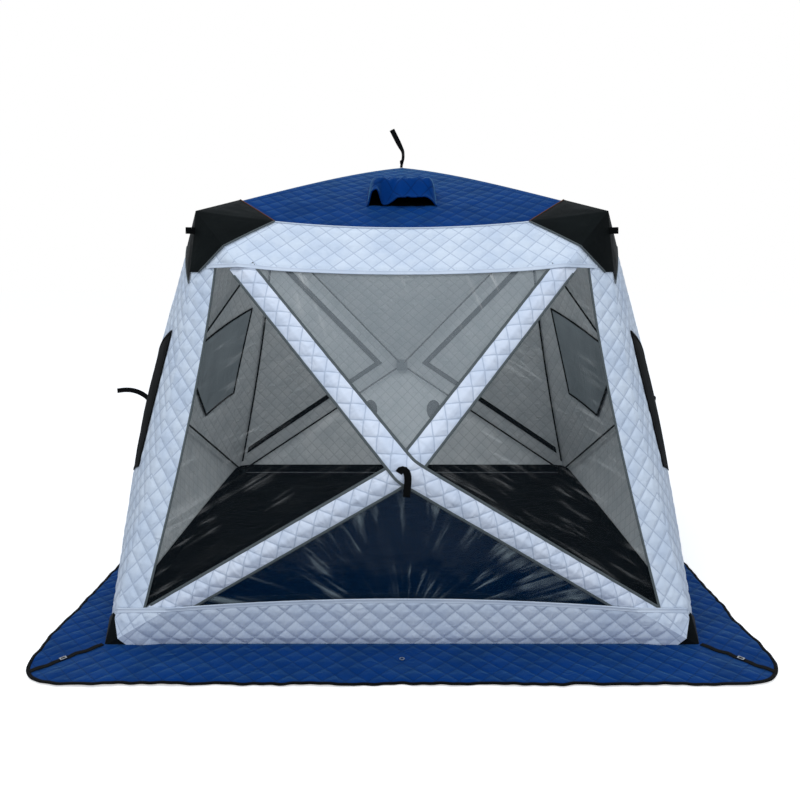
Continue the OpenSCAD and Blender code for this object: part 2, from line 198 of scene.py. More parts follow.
@dataclass(frozen=True)
class Shell:
    """The hut's fabric surface: a folded frame of straight poles, whose edges and faces bend between them."""

    foot: float = 1.15
    eave: float = 0.875
    eave_z: float = 1.70
    peak_z: float = 2.00
    hub_z: float = 0.735
    hub_out: float = 1.3711
    eave_sag: float = 0.070
    eave_draw: float = 0.012
    post_draw: float = 0.036
    hip_rise: float = 0.018
    roof_sag: float = 0.012
    wall_sags: tuple[float, float, float, float] = (0.010, -0.024, 0.0, -0.036)

    def corner(self, name: str, depth: float = 0.0) -> Array:
        """One corner of the front wall, a depth inside the fabric's outer face."""
        f, e = self.foot - 0.9 * depth, self.eave - 0.7 * depth
        low, high = 0.5 * depth, self.eave_z - 0.83 * depth
        return np.array(
            {
                "foot_left": (-f, -f, low),
                "foot_right": (f, -f, low),
                "eave_left": (-e, -e, high),
                "eave_right": (e, -e, high),
                "hub": (0.0, 1.07 * depth - self.hub_out, self.hub_z),
                "peak": (0.0, 0.0, self.peak_z - 1.057 * depth),
            }[name]
        )

    def corners(self, face: Face, depth: float = 0.0) -> Array:
        """The three corners of a face."""
        return np.array([self.corner(n, depth) for n in face.value])

    def plane(self, face: Face) -> Plane:
        """The flat triangle of a face."""
        return Plane.through(self.corners(face))

    def slack(self, wall: int, face: Face, w: Array) -> Array:
        """How far the cloth moves from the flat face.

        An edge between corners i and j moves by 4·wi·wj·(wi + wj)² times its own pull, which is whole at the edge's
        middle and nothing on the other edges. The middle of a face moves by 27·w0·w1·w2 times its sag, inwards.

        Args:
            wall: quarter turns from the front wall.
            face: the face.
            w: shares of its corners, one row for each point.

        Returns:
            One movement for each point.
        """
        of = {n: w[..., i : i + 1] for i, n in enumerate(face.value)}
        move = np.zeros(w.shape[:-1] + (3,))

        def bend(first: str, second: str, skew: float, pull: tuple[float, float, float]) -> Array | float:
            """Movement of the edge between two corners, stronger towards the first by its skew."""
            if first not in of or second not in of:
                return 0.0
            a, b = of[first], of[second]
            return 4 * a * b * (a + b) ** 2 * (1 + skew * (a - b)) * np.array(pull)

        move = move + bend("eave_left", "eave_right", 0.0, (0, self.eave_draw, -self.eave_sag))
        for side, s in (("left", -1), ("right", 1)):
            move = move + bend("peak", f"eave_{side}", 0.5, (0, 0, self.hip_rise))
            move = move + bend(f"eave_{side}", f"foot_{side}", 0.35, (-s * self.post_draw, self.post_draw, 0))
        sag = self.roof_sag if face is Face.ROOF else self.wall_sags[wall]
        return move - 27 * np.prod(w, axis=-1, keepdims=True) * sag * self.plane(face).out

    def outward(self, wall: int, face: Face) -> Array:
        """The outward direction of a face, as one row."""
        return turned(self.plane(face).out[None], wall)

    def place(
        self,
        wall: int,
        face: Face,
        uv: Array,
        depth: float = 0.0,
        proud: Array | float = 0.0,
        square: bool = False,
    ) -> Array:
        """Points in space of flat places on a face.

        Cloth that stands out leans as its corners do, so that sheets on two faces still meet at the crease between.

        Args:
            wall: quarter turns from the front wall.
            face: the face.
            uv: flat places on it.
            depth: how far inside the outer face the layer lies.
            proud: how far each point stands out of its layer.
            square: whether it stands out straight instead.

        Returns:
            One point for each place.
        """
        plane = self.plane(face)
        w = plane.share(uv)
        flat = w @ self.corners(face, depth) + self.slack(wall, face, w)
        out = plane.out if square else w @ (self.corners(face, -0.01) - self.corners(face)) / 0.01
        made = turned(flat + out * np.asarray(proud, float)[..., None], wall)
        made[:, 2] = np.maximum(made[:, 2], LOWEST)
        return made

    def region(
        self,
        face: Face,
        above: float | None = None,
        below: float | None = None,
        off: Mapping[int, float] | None = None,
        near: Mapping[int, float] | None = None,
    ) -> Array:
        """A convex part of a face.

        Args:
            face: the face.
            above: lowest height above the ground.
            below: highest height above the ground.
            off: least distance from the edge that faces each corner.
            near: largest distance from the edge that faces each corner.

        Returns:
            Its corners on the flat face, anticlockwise.
        """
        plane = self.plane(face)
        outline = plane.outline
        if above is not None:
            outline = trimmed(outline, plane.height(), above)
        if below is not None:
            outline = trimmed(outline, -plane.height(), -below)
        for i, d in (off or {}).items():
            outline = trimmed(outline, plane.edge(i), d)
        for i, d in (near or {}).items():
            outline = trimmed(outline, -plane.edge(i), -d)
        return outline

    def across(self, face: Face, points: Pairs) -> Array:
        """Flat places from distances along the wall and heights above the ground.

        Args:
            face: the face.
            points: pairs of distance from the wall's middle and height.

        Returns:
            Flat places on the face.
        """
        plane = self.plane(face)
        xz = np.array(points, float)
        v = (xz[:, 1] - plane.origin[2]) / plane.up[2]
        u = (xz[:, 0] - plane.origin[0] - v * plane.up[0]) / plane.right[0]
        return np.stack([u, v], 1)

    def line(self, wall: int, face: Face, a: Array, b: Array, depth: float = 0.0, step: float = PATH_STEP) -> Array:
        """Points along a straight seam on a face, from flat place a to flat place b."""
        return self.place(wall, face, between(a, b, step), depth)


def between(a: Array, b: Array, step: float = PATH_STEP) -> Array:
    """Flat places from a to b, about a step apart."""
    count = max(2, int(np.linalg.norm(b - a) / step) + 1)
    return a + (b - a) * np.linspace(0, 1, count)[:, None]


SHELL = Shell()


# ---- surfaces


@dataclass
class Surface:
    """Points and faces of a piece, with the cloth's own flat coordinates in metres."""

    points: Array
    faces: Array
    flat: Array

    @classmethod
    def joined(cls, parts: Sequence["Surface"]) -> "Surface":
        """Several surfaces as one."""
        starts = np.cumsum([0] + [len(p.points) for p in parts[:-1]])
        return cls(
            np.concatenate([p.points for p in parts]),
            np.concatenate([p.faces + s for p, s in zip(parts, starts)]),
            np.concatenate([p.flat for p in parts]),
        )

    def inside_out(self) -> "Surface":
        """The same surface facing the other way."""
        return Surface(self.points, self.faces[:, ::-1], self.flat)

    def piece(self, name: str) -> bpy.types.Object:
        """Puts the surface into a mesh object, whose seams are closed where points lie within a step of 0.02 mm.

        Args:
            name: the object's name.

        Returns:
            The object, smooth shaded, with its flat coordinates as a UV map.
        """
        weld = 2e-5
        steps = np.round(self.points / weld).astype(np.int64)
        _, first, back = np.unique(steps, axis=0, return_index=True, return_inverse=True)
        faces = back.reshape(-1)[self.faces]
        whole = (faces != np.roll(faces, 1, 1)).all(1)
        mesh = bpy.data.meshes.new(name)
        mesh.from_pydata(self.points[first].tolist(), [], faces[whole].tolist())
        uv = mesh.uv_layers.new(name="cloth")
        uv.data.foreach_set("uv", self.flat[self.faces[whole]].astype(np.float32).ravel())
        mesh.polygons.foreach_set("use_smooth", np.ones(len(mesh.polygons), bool))
        mesh.update()
        piece = bpy.data.objects.new(name, mesh)
        bpy.context.scene.collection.objects.link(piece)
        return piece


def cells(rows: int, columns: int) -> tuple[Array, Array, Array, Array]:
    """Corners of each cell of a grid stored row by row: the first row's two, then the next row's two, going round."""
    a = (np.arange(rows - 1)[:, None] * columns + np.arange(columns - 1)).reshape(-1)
    return a, a + 1, a + columns + 1, a + columns


def split(rows: int, columns: int, rising: Array) -> Array:
    """Two triangles for each cell of a grid.

    Args:
        rows: how many rows of points there are.
        columns: how many points there are in a row.
        rising: whether each cell is split along its rising diagonal, as one column.

    Returns:
        The triangles.
    """
    a, b, c, d = cells(rows, columns)
    first = np.where(rising, np.stack([a, b, c], 1), np.stack([a, b, d], 1))
    second = np.where(rising, np.stack([a, c, d], 1), np.stack([b, c, d], 1))
    return np.concatenate([first, second])


def lattice(outline: Array, step: float = STEP) -> tuple[Array, Array]:
    """Grid over a convex outline, as rows of places and triangles.

    Rows lie on multiples of the step and at the outline's corners. In each row the columns lie on multiples of the
    step, held between the outline's left and right edges. Each cell is split along the diagonal that a stitch line
    follows.

    Args:
        outline: corners of the outline on the flat face.
        step: the grid's step.

    Returns:
        Flat places, and triangles that index them.
    """
    low, high = outline.min(0), outline.max(0)
    rows = step * np.arange(math.ceil(low[1] / step), math.floor(high[1] / step) + 1)
    v = np.unique(np.round(np.r_[outline[:, 1], rows], 6))
    ku = np.arange(math.floor(low[0] / step), math.ceil(high[0] / step) + 1)
    p, q = outline, np.roll(outline, -1, 0)
    rise = q[:, 1] - p[:, 1]
    flat = np.abs(rise) < 1e-9
    t = (v[:, None] - p[:, 1]) / np.where(flat, 1, rise)
    u = np.where(flat | (t < -1e-5) | (t > 1 + 1e-5), np.nan, p[:, 0] + t * (q[:, 0] - p[:, 0]))
    left, right = np.nanmin(u, 1), np.nanmax(u, 1)
    columns = np.clip(ku * step, left[:, None], right[:, None])
    places = np.stack([columns, np.repeat(v[:, None], len(ku), 1)], -1).reshape(-1, 2)
    kv = np.floor(v[:-1] / step + 0.5 * np.diff(v) / step).astype(int)
    rising = (kv[:, None] + ku[None, :-1] + 1) % CELLS != 0
    tris = split(len(v), len(ku), rising.reshape(-1, 1))
    e, f = places[tris[:, 1]] - places[tris[:, 0]], places[tris[:, 2]] - places[tris[:, 0]]
    return places, tris[e[:, 0] * f[:, 1] - e[:, 1] * f[:, 0] > 1e-9]


def grid_faces(rows: int, columns: int) -> Array:
    """Triangles over a grid stored row by row, facing out when columns run right and rows run down."""
    a, b, c, d = cells(rows, columns)
    return np.concatenate([np.stack([a, d, c], 1), np.stack([a, c, b], 1)])


def border(outline: Array, places: Array) -> Array:
    """Distance of each place from the nearest edge of a convex outline."""
    p, q = outline, np.roll(outline, -1, 0)
    along = unit(q - p)
    across = (places[:, None, 0] - p[:, 0]) * along[:, 1] - (places[:, None, 1] - p[:, 1]) * along[:, 0]
    return np.abs(across).min(1)


def crumple(uv: Array, seed: int, longest: float = 0.45) -> Array:
    """Soft uneven waves from -1 to 1: a sum of sines of chance directions, each shorter than the last.

    Args:
        uv: flat places.
        seed: fixes the directions and phases.
        longest: the longest wave.

    Returns:
        One height for each place.
    """
    count = 14
    chance = np.random.default_rng(int(seed))
    wave = longest * 0.86 ** np.arange(count)
    turn, phase = chance.uniform(0, math.pi, count), chance.uniform(0, 2 * math.pi, count)
    k = 2 * math.pi / wave * np.array([np.cos(turn), np.sin(turn)])
    return (np.sin(uv @ k + phase) * (wave / longest) ** 0.6).sum(-1) / count * 2


Relief = Callable[[Array, Array], Array]  # heights from flat places and their distances from the piece's border
Lift = Callable[[Face, Array], Array]  # heights from a face and flat places on it


@dataclass(frozen=True)
class Ripple:
    """Relief of slow waves that die away at the piece's border."""

    seed: int
    longest: float
    height: float
    lift: float = 0.0
    rest: float = 0.0
    fade: float = 0.1
    one_way: bool = False

    def __call__(self, uv: Array, edge: Array) -> Array:
        """Heights: rest + (height·wave + lift)·fade, where the wave may go one way only."""
        wave = crumple(uv, self.seed, self.longest)
        wave = np.abs(wave) if self.one_way else wave
        return self.rest + (self.height * wave + self.lift) * ease(edge, 0, self.fade)


@dataclass(frozen=True)
class Quilting:
    """Padding stitched down along two crossing families of lines.

    The height over a diamond is puff·(1 - (1 - a)^3), where a runs from 0 on the nearest stitch line to 1 in the
    middle. It dies away near the piece's border, and slow waves are added that leave the border alone.
    """

    puff: float = 0.0045
    hem: float = 0.018
    waves: float = 0.004

    def height(self, uv: Array, edge: Array, seed: int) -> Array:
        """Height of the cloth above its stitched seams.

        Args:
            uv: flat places.
            edge: distance of each from the piece's border.
            seed: fixes the waves.

        Returns:
            One height for each place.
        """
        turns = np.stack([uv[:, 0] + uv[:, 1], uv[:, 0] - uv[:, 1]], 1) / math.sqrt(2) / STITCH_ROW
        a = 2 * np.abs(turns - np.round(turns)).min(1)
        uneven = 1 + 0.25 * crumple(uv, seed + 50, 0.3)
        pad = self.puff * (1 - (1 - a) ** 3) * ease(edge, 0.002, self.hem) * uneven
        return pad + self.waves * crumple(uv, seed) * ease(edge, 0.0, 0.12)

    def relief(self, face: Face, seed: int) -> Relief:
        """The padding's relief on a face, flat where a pocket presses on it."""

        def rise(uv: Array, edge: Array) -> Array:
            """Height of the cloth above its stitched seams."""
            return self.height(uv, edge, seed) * open_part(face, uv)

        return rise


def cloth(
    wall: int,
    face: Face,
    outline: Array,
    depth: float = 0.0,
    relief: Relief | None = None,
    step: float = STEP,
) -> Surface:
    """A cloth surface over a convex part of a face.

    Args:
        wall: quarter turns from the front wall.
        face: the face.
        outline: the part's corners on the flat face.
        depth: how far inside the outer face it lies.
        relief: gives the height from flat places and their distance from the border.
        step: the grid's step.

    Returns:
        The surface, facing outwards.
    """
    uv, tris = lattice(outline, step)
    proud = relief(uv, border(outline, uv)) if relief else np.zeros(len(uv))
    return Surface(SHELL.place(wall, face, uv, depth, proud), tris, uv)


def swept(path: Array, outward: Array, profile: Array, closed: bool = False) -> Surface:
    """A profile carried along a path.

    Each profile point (x, y) lies x across the path and y outwards. The flat coordinates are the distance round the
    profile and the distance along the path. An open path's ends are capped.

    Args:
        path: points of the path.
        outward: the outward direction at each, or one for all.
        profile: a closed loop of points, anticlockwise when x is to the right and y up.
        closed: whether the path returns to its start.

    Returns:
        The surface, facing out of the profile.
    """
    before, after = np.roll(path, 1, 0), np.roll(path, -1, 0)
    if not closed:
        before[0], after[-1] = path[0], path[-1]
    along = unit(after - before)
    side = unit(np.cross(along, np.broadcast_to(outward, path.shape)))
    out = np.cross(side, along)
    n, m = len(path), len(profile)
    points = path[:, None] + side[:, None] * profile[None, :, :1] + out[:, None] * profile[None, :, 1:]
    points, total = points.reshape(-1, 3), n * m
    gone, around = travelled(path), travelled(profile)
    flat = np.stack(np.broadcast_arrays(around[None, :], gone[:, None]), -1).reshape(-1, 2)
    rows = np.arange(n if closed else n - 1)[:, None]
    i = np.arange(m)
    j = (i + 1) % m
    a, b, c, d = rows * m + i, rows * m + j, (rows + 1) % n * m + j, (rows + 1) % n * m + i
    quads = np.stack([a, d, c, b], -1).reshape(-1, 4)
    tris = np.concatenate([quads[:, [0, 1, 2]], quads[:, [0, 2, 3]]])
    if not closed:
        points = np.vstack([points, path[:1], path[-1:]])
        flat = np.vstack([flat, [[0, 0]], [[0, gone[-1]]]])
        first = np.stack([i, j, np.full(m, total)], 1)
        last = np.stack([total - m + j, total - m + i, np.full(m, total + 1)], 1)
        tris = np.concatenate([tris, first, last])
    return Surface(points, tris, flat)


def travelled(path: Array) -> Array:
    """Distance along a path at each of its points."""
    return np.r_[0, np.cumsum(np.linalg.norm(np.diff(path, axis=0), axis=1))]


def oval(width: float, height: float, count: int = 8, power: float = 1.0) -> Array:
    """A rounded profile: an ellipse whose sides are flattened as the power goes below 1."""
    t = np.linspace(0, 2 * math.pi, count, endpoint=False)
    c, s = np.cos(t), np.sin(t)
    return np.stack([np.sign(c) * np.abs(c) ** power * width / 2, np.sign(s) * np.abs(s) ** power * height / 2], 1)


def smooth_path(points: Sequence[Sequence[float]], step: float = 0.008) -> Array:
    """A Catmull-Rom curve through the points, with places a step apart.

    Args:
        points: the points that the curve passes through.
        step: distance between neighbouring places.

    Returns:
        The places, from the first point to the last.
    """
    p = np.array(points, float)
    p = np.vstack([2 * p[0] - p[1], p, 2 * p[-1] - p[-2]])
    t = np.linspace(0, 1, 24, endpoint=False)[:, None, None]
    a, b, c, d = p[:-3], p[1:-2], p[2:-1], p[3:]
    curve = 0.5 * (2 * b + (c - a) * t + (2 * a - 5 * b + 4 * c - d) * t**2 + (3 * b - a - 3 * c + d) * t**3)
    curve = np.vstack([curve.transpose(1, 0, 2).reshape(-1, 3), p[-2:-1]])
    gone = travelled(curve)
    at = np.linspace(0, gone[-1], max(3, int(gone[-1] / step) + 1))
    return np.stack([np.interp(at, gone, curve[:, i]) for i in range(3)], 1)


# Cloth pockets: the corner of the face, and their lengths along the edges to the next corner and to the last one
POCKETS = {
    Face.HIGH: ((0, 0.334, 0.217), (1, 0.217, 0.334)),
    Face.RIGHT: ((1, 0.217, 0.314), (0, 0.120, 0.120)),
    Face.LEFT: ((0, 0.314, 0.217), (1, 0.120, 0.120)),
    Face.LOW: ((0, 0.120, 0.120), (1, 0.120, 0.120)),
    Face.ROOF: ((0, 0.334, 0.226), (1, 0.226, 0.334)),
}


def pocket(face: Face, place: int) -> Array:
    """The triangle of a face that a pocket covers.

    Args:
        face: the face.
        place: which of the face's pockets.

    Returns:
        The face's own corner, then the two ends of the pocket's open edge.
    """
    corner, first, second = POCKETS[face][place]
    o = SHELL.plane(face).outline
    here, after, before = o[corner], o[(corner + 1) % 3], o[(corner + 2) % 3]
    return np.array([here, here + unit(after - here) * first, here + unit(before - here) * second])


def inside(outline: Array, uv: Array) -> Array:
    """Signed distance from a convex outline's edges, above zero inside it."""
    p, q = outline, np.roll(outline, -1, 0)
    turn = 1.0 if float((p[:, 0] * q[:, 1] - q[:, 0] * p[:, 1]).sum()) > 0 else -1.0
    along = unit(q - p) * turn
    return ((uv[:, None, 1] - p[:, 1]) * along[:, 0] - (uv[:, None, 0] - p[:, 0]) * along[:, 1]).min(1)


def open_part(face: Face, uv: Array) -> Array:
    """1 on a face's open cloth, and 0 where a pocket presses on it."""
    pressed = [ease(inside(pocket(face, i), uv), -0.03, -0.004) for i in range(len(POCKETS[face]))]
    return 1 - np.max(pressed, axis=0)


# ---- finishes


def linear(code: str) -> tuple[float, float, float, float]:
    """An sRGB hex colour as linear red, green, blue and alpha."""
    parts = [int(code[i : i + 2], 16) / 255 for i in (1, 3, 5)]
    return (*(c / 12.92 if c <= 0.04045 else ((c + 0.055) / 1.055) ** 2.4 for c in parts), 1.0)


def add(tree: Tree, kind: str, feeds: Mapping[Any, Any] | None = None, **settings: Any) -> bpy.types.Node:
    """Adds a node with its settings and links.

    Args:
        tree: the node tree.
        kind: the node's type.
        feeds: a value, or the socket to link from, for each input.
        settings: properties of the node.

    Returns:
        The node.
    """
    node = tree.nodes.new(kind)
    for name, value in settings.items():
        setattr(node, name, value)
    for name, value in (feeds or {}).items():
        if isinstance(value, Socket):
            tree.links.new(value, node.inputs[name])
        else:
            node.inputs[name].default_value = value
    return node


@dataclass(frozen=True)
class Finish:
    """A material with a name. Each kind of finish draws its own nodes in draw()."""

    name: str

    def material(self) -> bpy.types.Material:
        """The material, drawn the first time it is asked for."""
        known = bpy.data.materials.get(self.name)
        if known:
            return known
        made = bpy.data.materials.new(self.name)
        made.use_nodes = True
        made.node_tree.nodes.clear()
        out = add(made.node_tree, "ShaderNodeOutputMaterial")
        made.node_tree.links.new(self.draw(made.node_tree), out.inputs["Surface"])
        return made

    def draw(self, tree: Tree) -> Socket:
        """Draws the nodes and returns the shader."""
        raise NotImplementedError


def mixed(tree: Tree, amount: Any, first: Any, second: Any) -> Socket:
    """A colour between two others."""
    return add(tree, "ShaderNodeMix", {0: amount, 6: first, 7: second}, data_type="RGBA").outputs[2]


def sums(tree: Tree, operation: str, *values: Any) -> Socket:
    """One arithmetic step."""
    return add(tree, "ShaderNodeMath", dict(enumerate(values)), operation=operation).outputs[0]


def weighed(tree: Tree, *parts: tuple[Any, float]) -> Socket:
    """Heights times their weights, added up."""
    heights = [sums(tree, "MULTIPLY", value, weight) for value, weight in parts]
    total = heights[0]
    for height in heights[1:]:
        total = sums(tree, "ADD", total, height)
    return total


def ramped(tree: Tree, value: Any, low: float, high: float, to_low: float = 0.0, to_high: float = 1.0) -> Socket:
    """A value carried smoothly from one range to another."""
    feeds = {"Value": value, "From Min": low, "From Max": high, "To Min": to_low, "To Max": to_high}
    return add(tree, "ShaderNodeMapRange", feeds, interpolation_type="SMOOTHSTEP").outputs[0]


def noise(tree: Tree, place: Any, scale: float, detail: float, more: Any = (), **settings: Any) -> Socket:
    """Cloudy noise from 0 to 1, the given number of clouds to the metre."""
    feeds = {"Vector": place, "Scale": scale, "Detail": detail} | dict(more)
    return add(tree, "ShaderNodeTexNoise", feeds, **settings).outputs[0]


def creased(tree: Tree, place: Any, scale: float, more: Mapping[str, float]) -> Socket:
    """Noise with sharp ridges, as crumpled coated cloth has."""
    return noise(tree, place, scale, 4.0, more, noise_type="RIDGED_MULTIFRACTAL", normalize=True)


def on_cloth(tree: Tree) -> Socket:
    """The cloth's own flat coordinates, in metres."""
    return add(tree, "ShaderNodeUVMap", uv_map="cloth").outputs[0]


def on_solid(tree: Tree) -> Socket:
    """Coordinates of a solid piece, in metres."""
    return add(tree, "ShaderNodeTexCoord").outputs["Object"]


def shaded(tree: Tree, height: Any, feeds: Mapping[str, Any]) -> Socket:
    """The shader, whose light is bent by a height in metres."""
    bump = add(tree, "ShaderNodeBump", {"Height": height, "Strength": 1.0, "Distance": 1.0}).outputs[0]
    return add(tree, "ShaderNodeBsdfPrincipled", dict(feeds) | {"Normal": bump}).outputs[0]


@dataclass(frozen=True)
class QuiltedPolyester(Finish):
    """Coated polyester oxford, stitched through its padding.

    The coating gives a soft sheen. Stitch lines are drawn 3 mm wide, where the real thread is under 1 mm, with creases
    that run off them across the cloth. The seam colour along the stitch lines is painted shade, for the shade that
    falls in the stitched grooves.
    """

    face: str
    # The seam colour is painted shade: the shade in the stitched grooves, darker than the face colour
    seam: str
    fold: str
    rough: float = 0.5
    crease: float = 0.55
    puff: float = 0.002
    gloss: float = 0.3
    sheen: float = 0.1
    sheen_tint: str = "#FFFFFF"

    def draw(self, tree: Tree) -> Socket:
        """Stitch lines and creases over two cloth colours."""
        uv = on_cloth(tree)
        feeds = {"Vector": uv, "Rotation": (0, 0, math.radians(45)), "Scale": (1 / STITCH_ROW,) * 3}
        rows = add(tree, "ShaderNodeSeparateXYZ", {0: add(tree, "ShaderNodeMapping", feeds).outputs[0]})
        lines = [sums(tree, "PINGPONG", rows.outputs[i], 0.5) for i in (0, 1)]
        away = sums(tree, "MULTIPLY", sums(tree, "MINIMUM", *lines), 2.0)
        # Mask of the stitch lines, which carries the painted shade of the stitched grooves
        stitch = ramped(tree, away, 0.03, 0.13, 1.0, 0.0)
        pad = sums(tree, "POWER", away, 0.5)
        slow = noise(tree, uv, 7.0, 3.0)
        # Creases 8 to 30 mm apart, sharp-edged like crumpled coated cloth
        creases = creased(tree, uv, 26.0, {"Roughness": 0.55, "Distortion": 0.9})
        # The weave's thread is 0.4 mm, drawn at about 3 mm so that it shows
        weave = noise(tree, uv, 330.0, 1.0)
        height = weighed(tree, (pad, self.puff), (creases, self.crease * 0.004), (weave, 0.00025))
        base = mixed(tree, ramped(tree, slow, 0.35, 0.68), linear(self.face), linear(self.fold))
        feeds = {
            # Painted shade: up to 70 % of the seam colour along the stitch lines
            "Base Color": mixed(tree, sums(tree, "MULTIPLY", stitch, 0.7), base, linear(self.seam)),
            "Roughness": ramped(tree, weave, 0.3, 0.7, self.rough - 0.06, self.rough + 0.08),
            "Specular IOR Level": self.gloss,
            "Sheen Weight": self.sheen,
            "Sheen Roughness": 0.4,
            "Sheen Tint": linear(self.sheen_tint),
        }
        return shaded(tree, height, feeds)


@dataclass(frozen=True)
class PlainPolyester(Finish):
    """Coated polyester without padding, such as hems and pockets: fine creases and a faint weave in a soft sheen."""

    face: str
    fold: str
    rough: float = 0.55
    crease: float = 0.6
    stretch: float = 1.0
    gloss: float = 0.2
    sheen: float = 0.0

    def draw(self, tree: Tree) -> Socket:
        """Creases drawn out along the cloth over two close colours."""
        uv = on_cloth(tree)
        feeds = {"Vector": uv, "Rotation": (0, 0, 0.6), "Scale": (1.0, 1.0 / self.stretch, 1.0)}
        along = add(tree, "ShaderNodeMapping", feeds).outputs[0]
        creases = creased(tree, along, 22.0, {"Distortion": 0.6})
        slow = noise(tree, along, 5.0, 4.0)
        # The weave's thread is 0.4 mm, drawn at about 3 mm so that it shows
        weave = noise(tree, uv, 330.0, 1.0)
        feeds = {
            "Base Color": mixed(tree, ramped(tree, slow, 0.3, 0.7), linear(self.face), linear(self.fold)),
            "Roughness": ramped(tree, weave, 0.3, 0.7, self.rough - 0.06, self.rough + 0.08),
            "Specular IOR Level": self.gloss,
            "Sheen Weight": self.sheen,
            "Sheen Roughness": 0.4,
        }
        return shaded(tree, weighed(tree, (creases, self.crease * 0.004), (weave, 0.0002)), feeds)


@dataclass(frozen=True)
class ClearVinyl(Finish):
    """Cast vinyl film: hazy streaks of light run along its creases, and the rest lets the inside show.

    The streaks are painted highlights: lighter colour that stands for glints and reflections on the creases. run is the
    number of streaks to the metre, across them and along them, and sparse is the noise above which one shows. With a
    fan, the streaks spread from a point that far down the face from the hub.
    """

    haze: str
    # The painted highlight colour along the creases
    painted_highlight: str
    cover: float
    run: tuple[float, float]
    crease: float
    turn: float = 0.0
    rough: float = 0.16
    gloss: float = 0.5
    sparse: float = 0.54
    fan: float | None = None

    def draw(self, tree: Tree) -> Socket:
        """Long creases in a thin, glossy, partly clear sheet."""
        uv = on_cloth(tree)
        flow = self.fanned(tree, uv) if self.fan is not None else uv
        feeds = {"Vector": flow, "Rotation": (0, 0, self.turn), "Scale": (1 / self.run[0], 1 / self.run[1], 1.0)}
        along = add(tree, "ShaderNodeMapping", feeds, vector_type="TEXTURE").outputs[0]
        streaks = noise(tree, along, 1.0, 5.0, {"Roughness": 0.6, "Distortion": 0.5})
        slow = noise(tree, uv, 4.0, 2.0)
        # Mask of the painted highlights: crease lines, kept to patches by the slow noise
        shown = ramped(tree, streaks, self.sparse, self.sparse + 0.18)
        line = sums(tree, "MULTIPLY", shown, ramped(tree, slow, 0.42, 0.6, 0.05, 1.0))
        feeds = {
            # Painted highlights: the crease lines take the highlight colour over the haze
            "Base Color": mixed(tree, line, linear(self.haze), linear(self.painted_highlight)),
            "Roughness": self.rough,
            "IOR": 1.53,
            "Specular IOR Level": self.gloss,
            "Alpha": self.cover,
        }
        return shaded(tree, weighed(tree, (streaks, 0.004 * self.crease)), feeds)

    def fanned(self, tree: Tree, uv: Any) -> Socket:
        """Angle round the fan's middle, and distance from it."""
        x, y, _ = add(tree, "ShaderNodeSeparateXYZ", {0: uv}).outputs
        below = sums(tree, "ADD", y, self.fan)
        squares = [sums(tree, "MULTIPLY", side, side) for side in (x, below)]
        far = sums(tree, "SQRT", sums(tree, "ADD", *squares))
        return add(tree, "ShaderNodeCombineXYZ", {0: sums(tree, "ARCTAN2", x, below), 1: far}).outputs[0]


@dataclass(frozen=True)
class WovenTape(Finish):
    """Woven polyester tape and webbing: ribs lie across it, drawn 3 mm apart where real ones are 1.2 mm."""

    face: str
    # The rib colour is darker and goes into the grooves between ribs: painted shade there, and random tone where the
    # fray noise is low
    rib: str
    pitch: float = 0.003
    rough: float = 0.7

    def draw(self, tree: Tree) -> Socket:
        """Ribs along the tape's own length."""
        uv = on_cloth(tree)
        parts = add(tree, "ShaderNodeSeparateXYZ", {0: uv})
        rib = sums(tree, "MULTIPLY", sums(tree, "PINGPONG", parts.outputs[1], self.pitch / 2), 2 / self.pitch)
        fray = noise(tree, uv, 160.0, 2.0)
        feeds = {
            # Painted shade in the grooves between ribs, where the bump is lowest, and random tone from the fray noise
            "Base Color": mixed(tree, sums(tree, "MULTIPLY", rib, fray), linear(self.rib), linear(self.face)),
            "Roughness": self.rough,
            "Specular IOR Level": 0.12,
        }
        return shaded(tree, weighed(tree, (rib, 0.0006), (fray, 0.0005)), feeds)


@dataclass(frozen=True)
class InsectMesh(Finish):
    """Knitted polyester mesh: dark round holes in a staggered net, drawn 5 mm apart where real ones are 1.5 mm."""

    face: str
    # The painted shade in the holes, for the darkness that shows through them
    hole_shade: str

    def draw(self, tree: Tree) -> Socket:
        """Cells darker in their middles."""
        feeds = {"Vector": on_cloth(tree), "Scale": 200.0, "Randomness": 0.25}
        wall = ramped(tree, add(tree, "ShaderNodeTexVoronoi", feeds).outputs[0], 0.25, 0.6)
        feeds = {
            # Painted shade: the cells' middles, the holes, take the hole colour
            "Base Color": mixed(tree, wall, linear(self.hole_shade), linear(self.face)),
            "Roughness": 0.8,
            "Specular IOR Level": 0.05,
        }
        return shaded(tree, weighed(tree, (wall, 0.001)), feeds)


@dataclass(frozen=True)
class MouldedPlastic(Finish):
    """Moulded nylon or drawn glass fibre: a fine pebbled or drawn grain, with dull scuffs."""

    face: str
    scuff: str
    rough: float = 0.42
    drawn: bool = False
    gloss: float = 0.5

    def draw(self, tree: Tree) -> Socket:
        """Grain about 2 mm across, stretched along Z where the rod was drawn."""
        place = on_solid(tree)
        feeds = {"Vector": place, "Scale": (1.0, 1.0, 0.06 if self.drawn else 1.0)}
        grain = noise(tree, add(tree, "ShaderNodeMapping", feeds).outputs[0], 480.0, 2.0)
        worn = noise(tree, place, 28.0, 5.0)
        feeds = {
            "Base Color": mixed(tree, ramped(tree, worn, 0.45, 0.75), linear(self.face), linear(self.scuff)),
            "Roughness": ramped(tree, worn, 0.3, 0.7, self.rough - 0.08, self.rough + 0.14),
            "IOR": 1.5,
            "Specular IOR Level": self.gloss,
        }
        return shaded(tree, weighed(tree, (grain, 0.0004)), feeds)


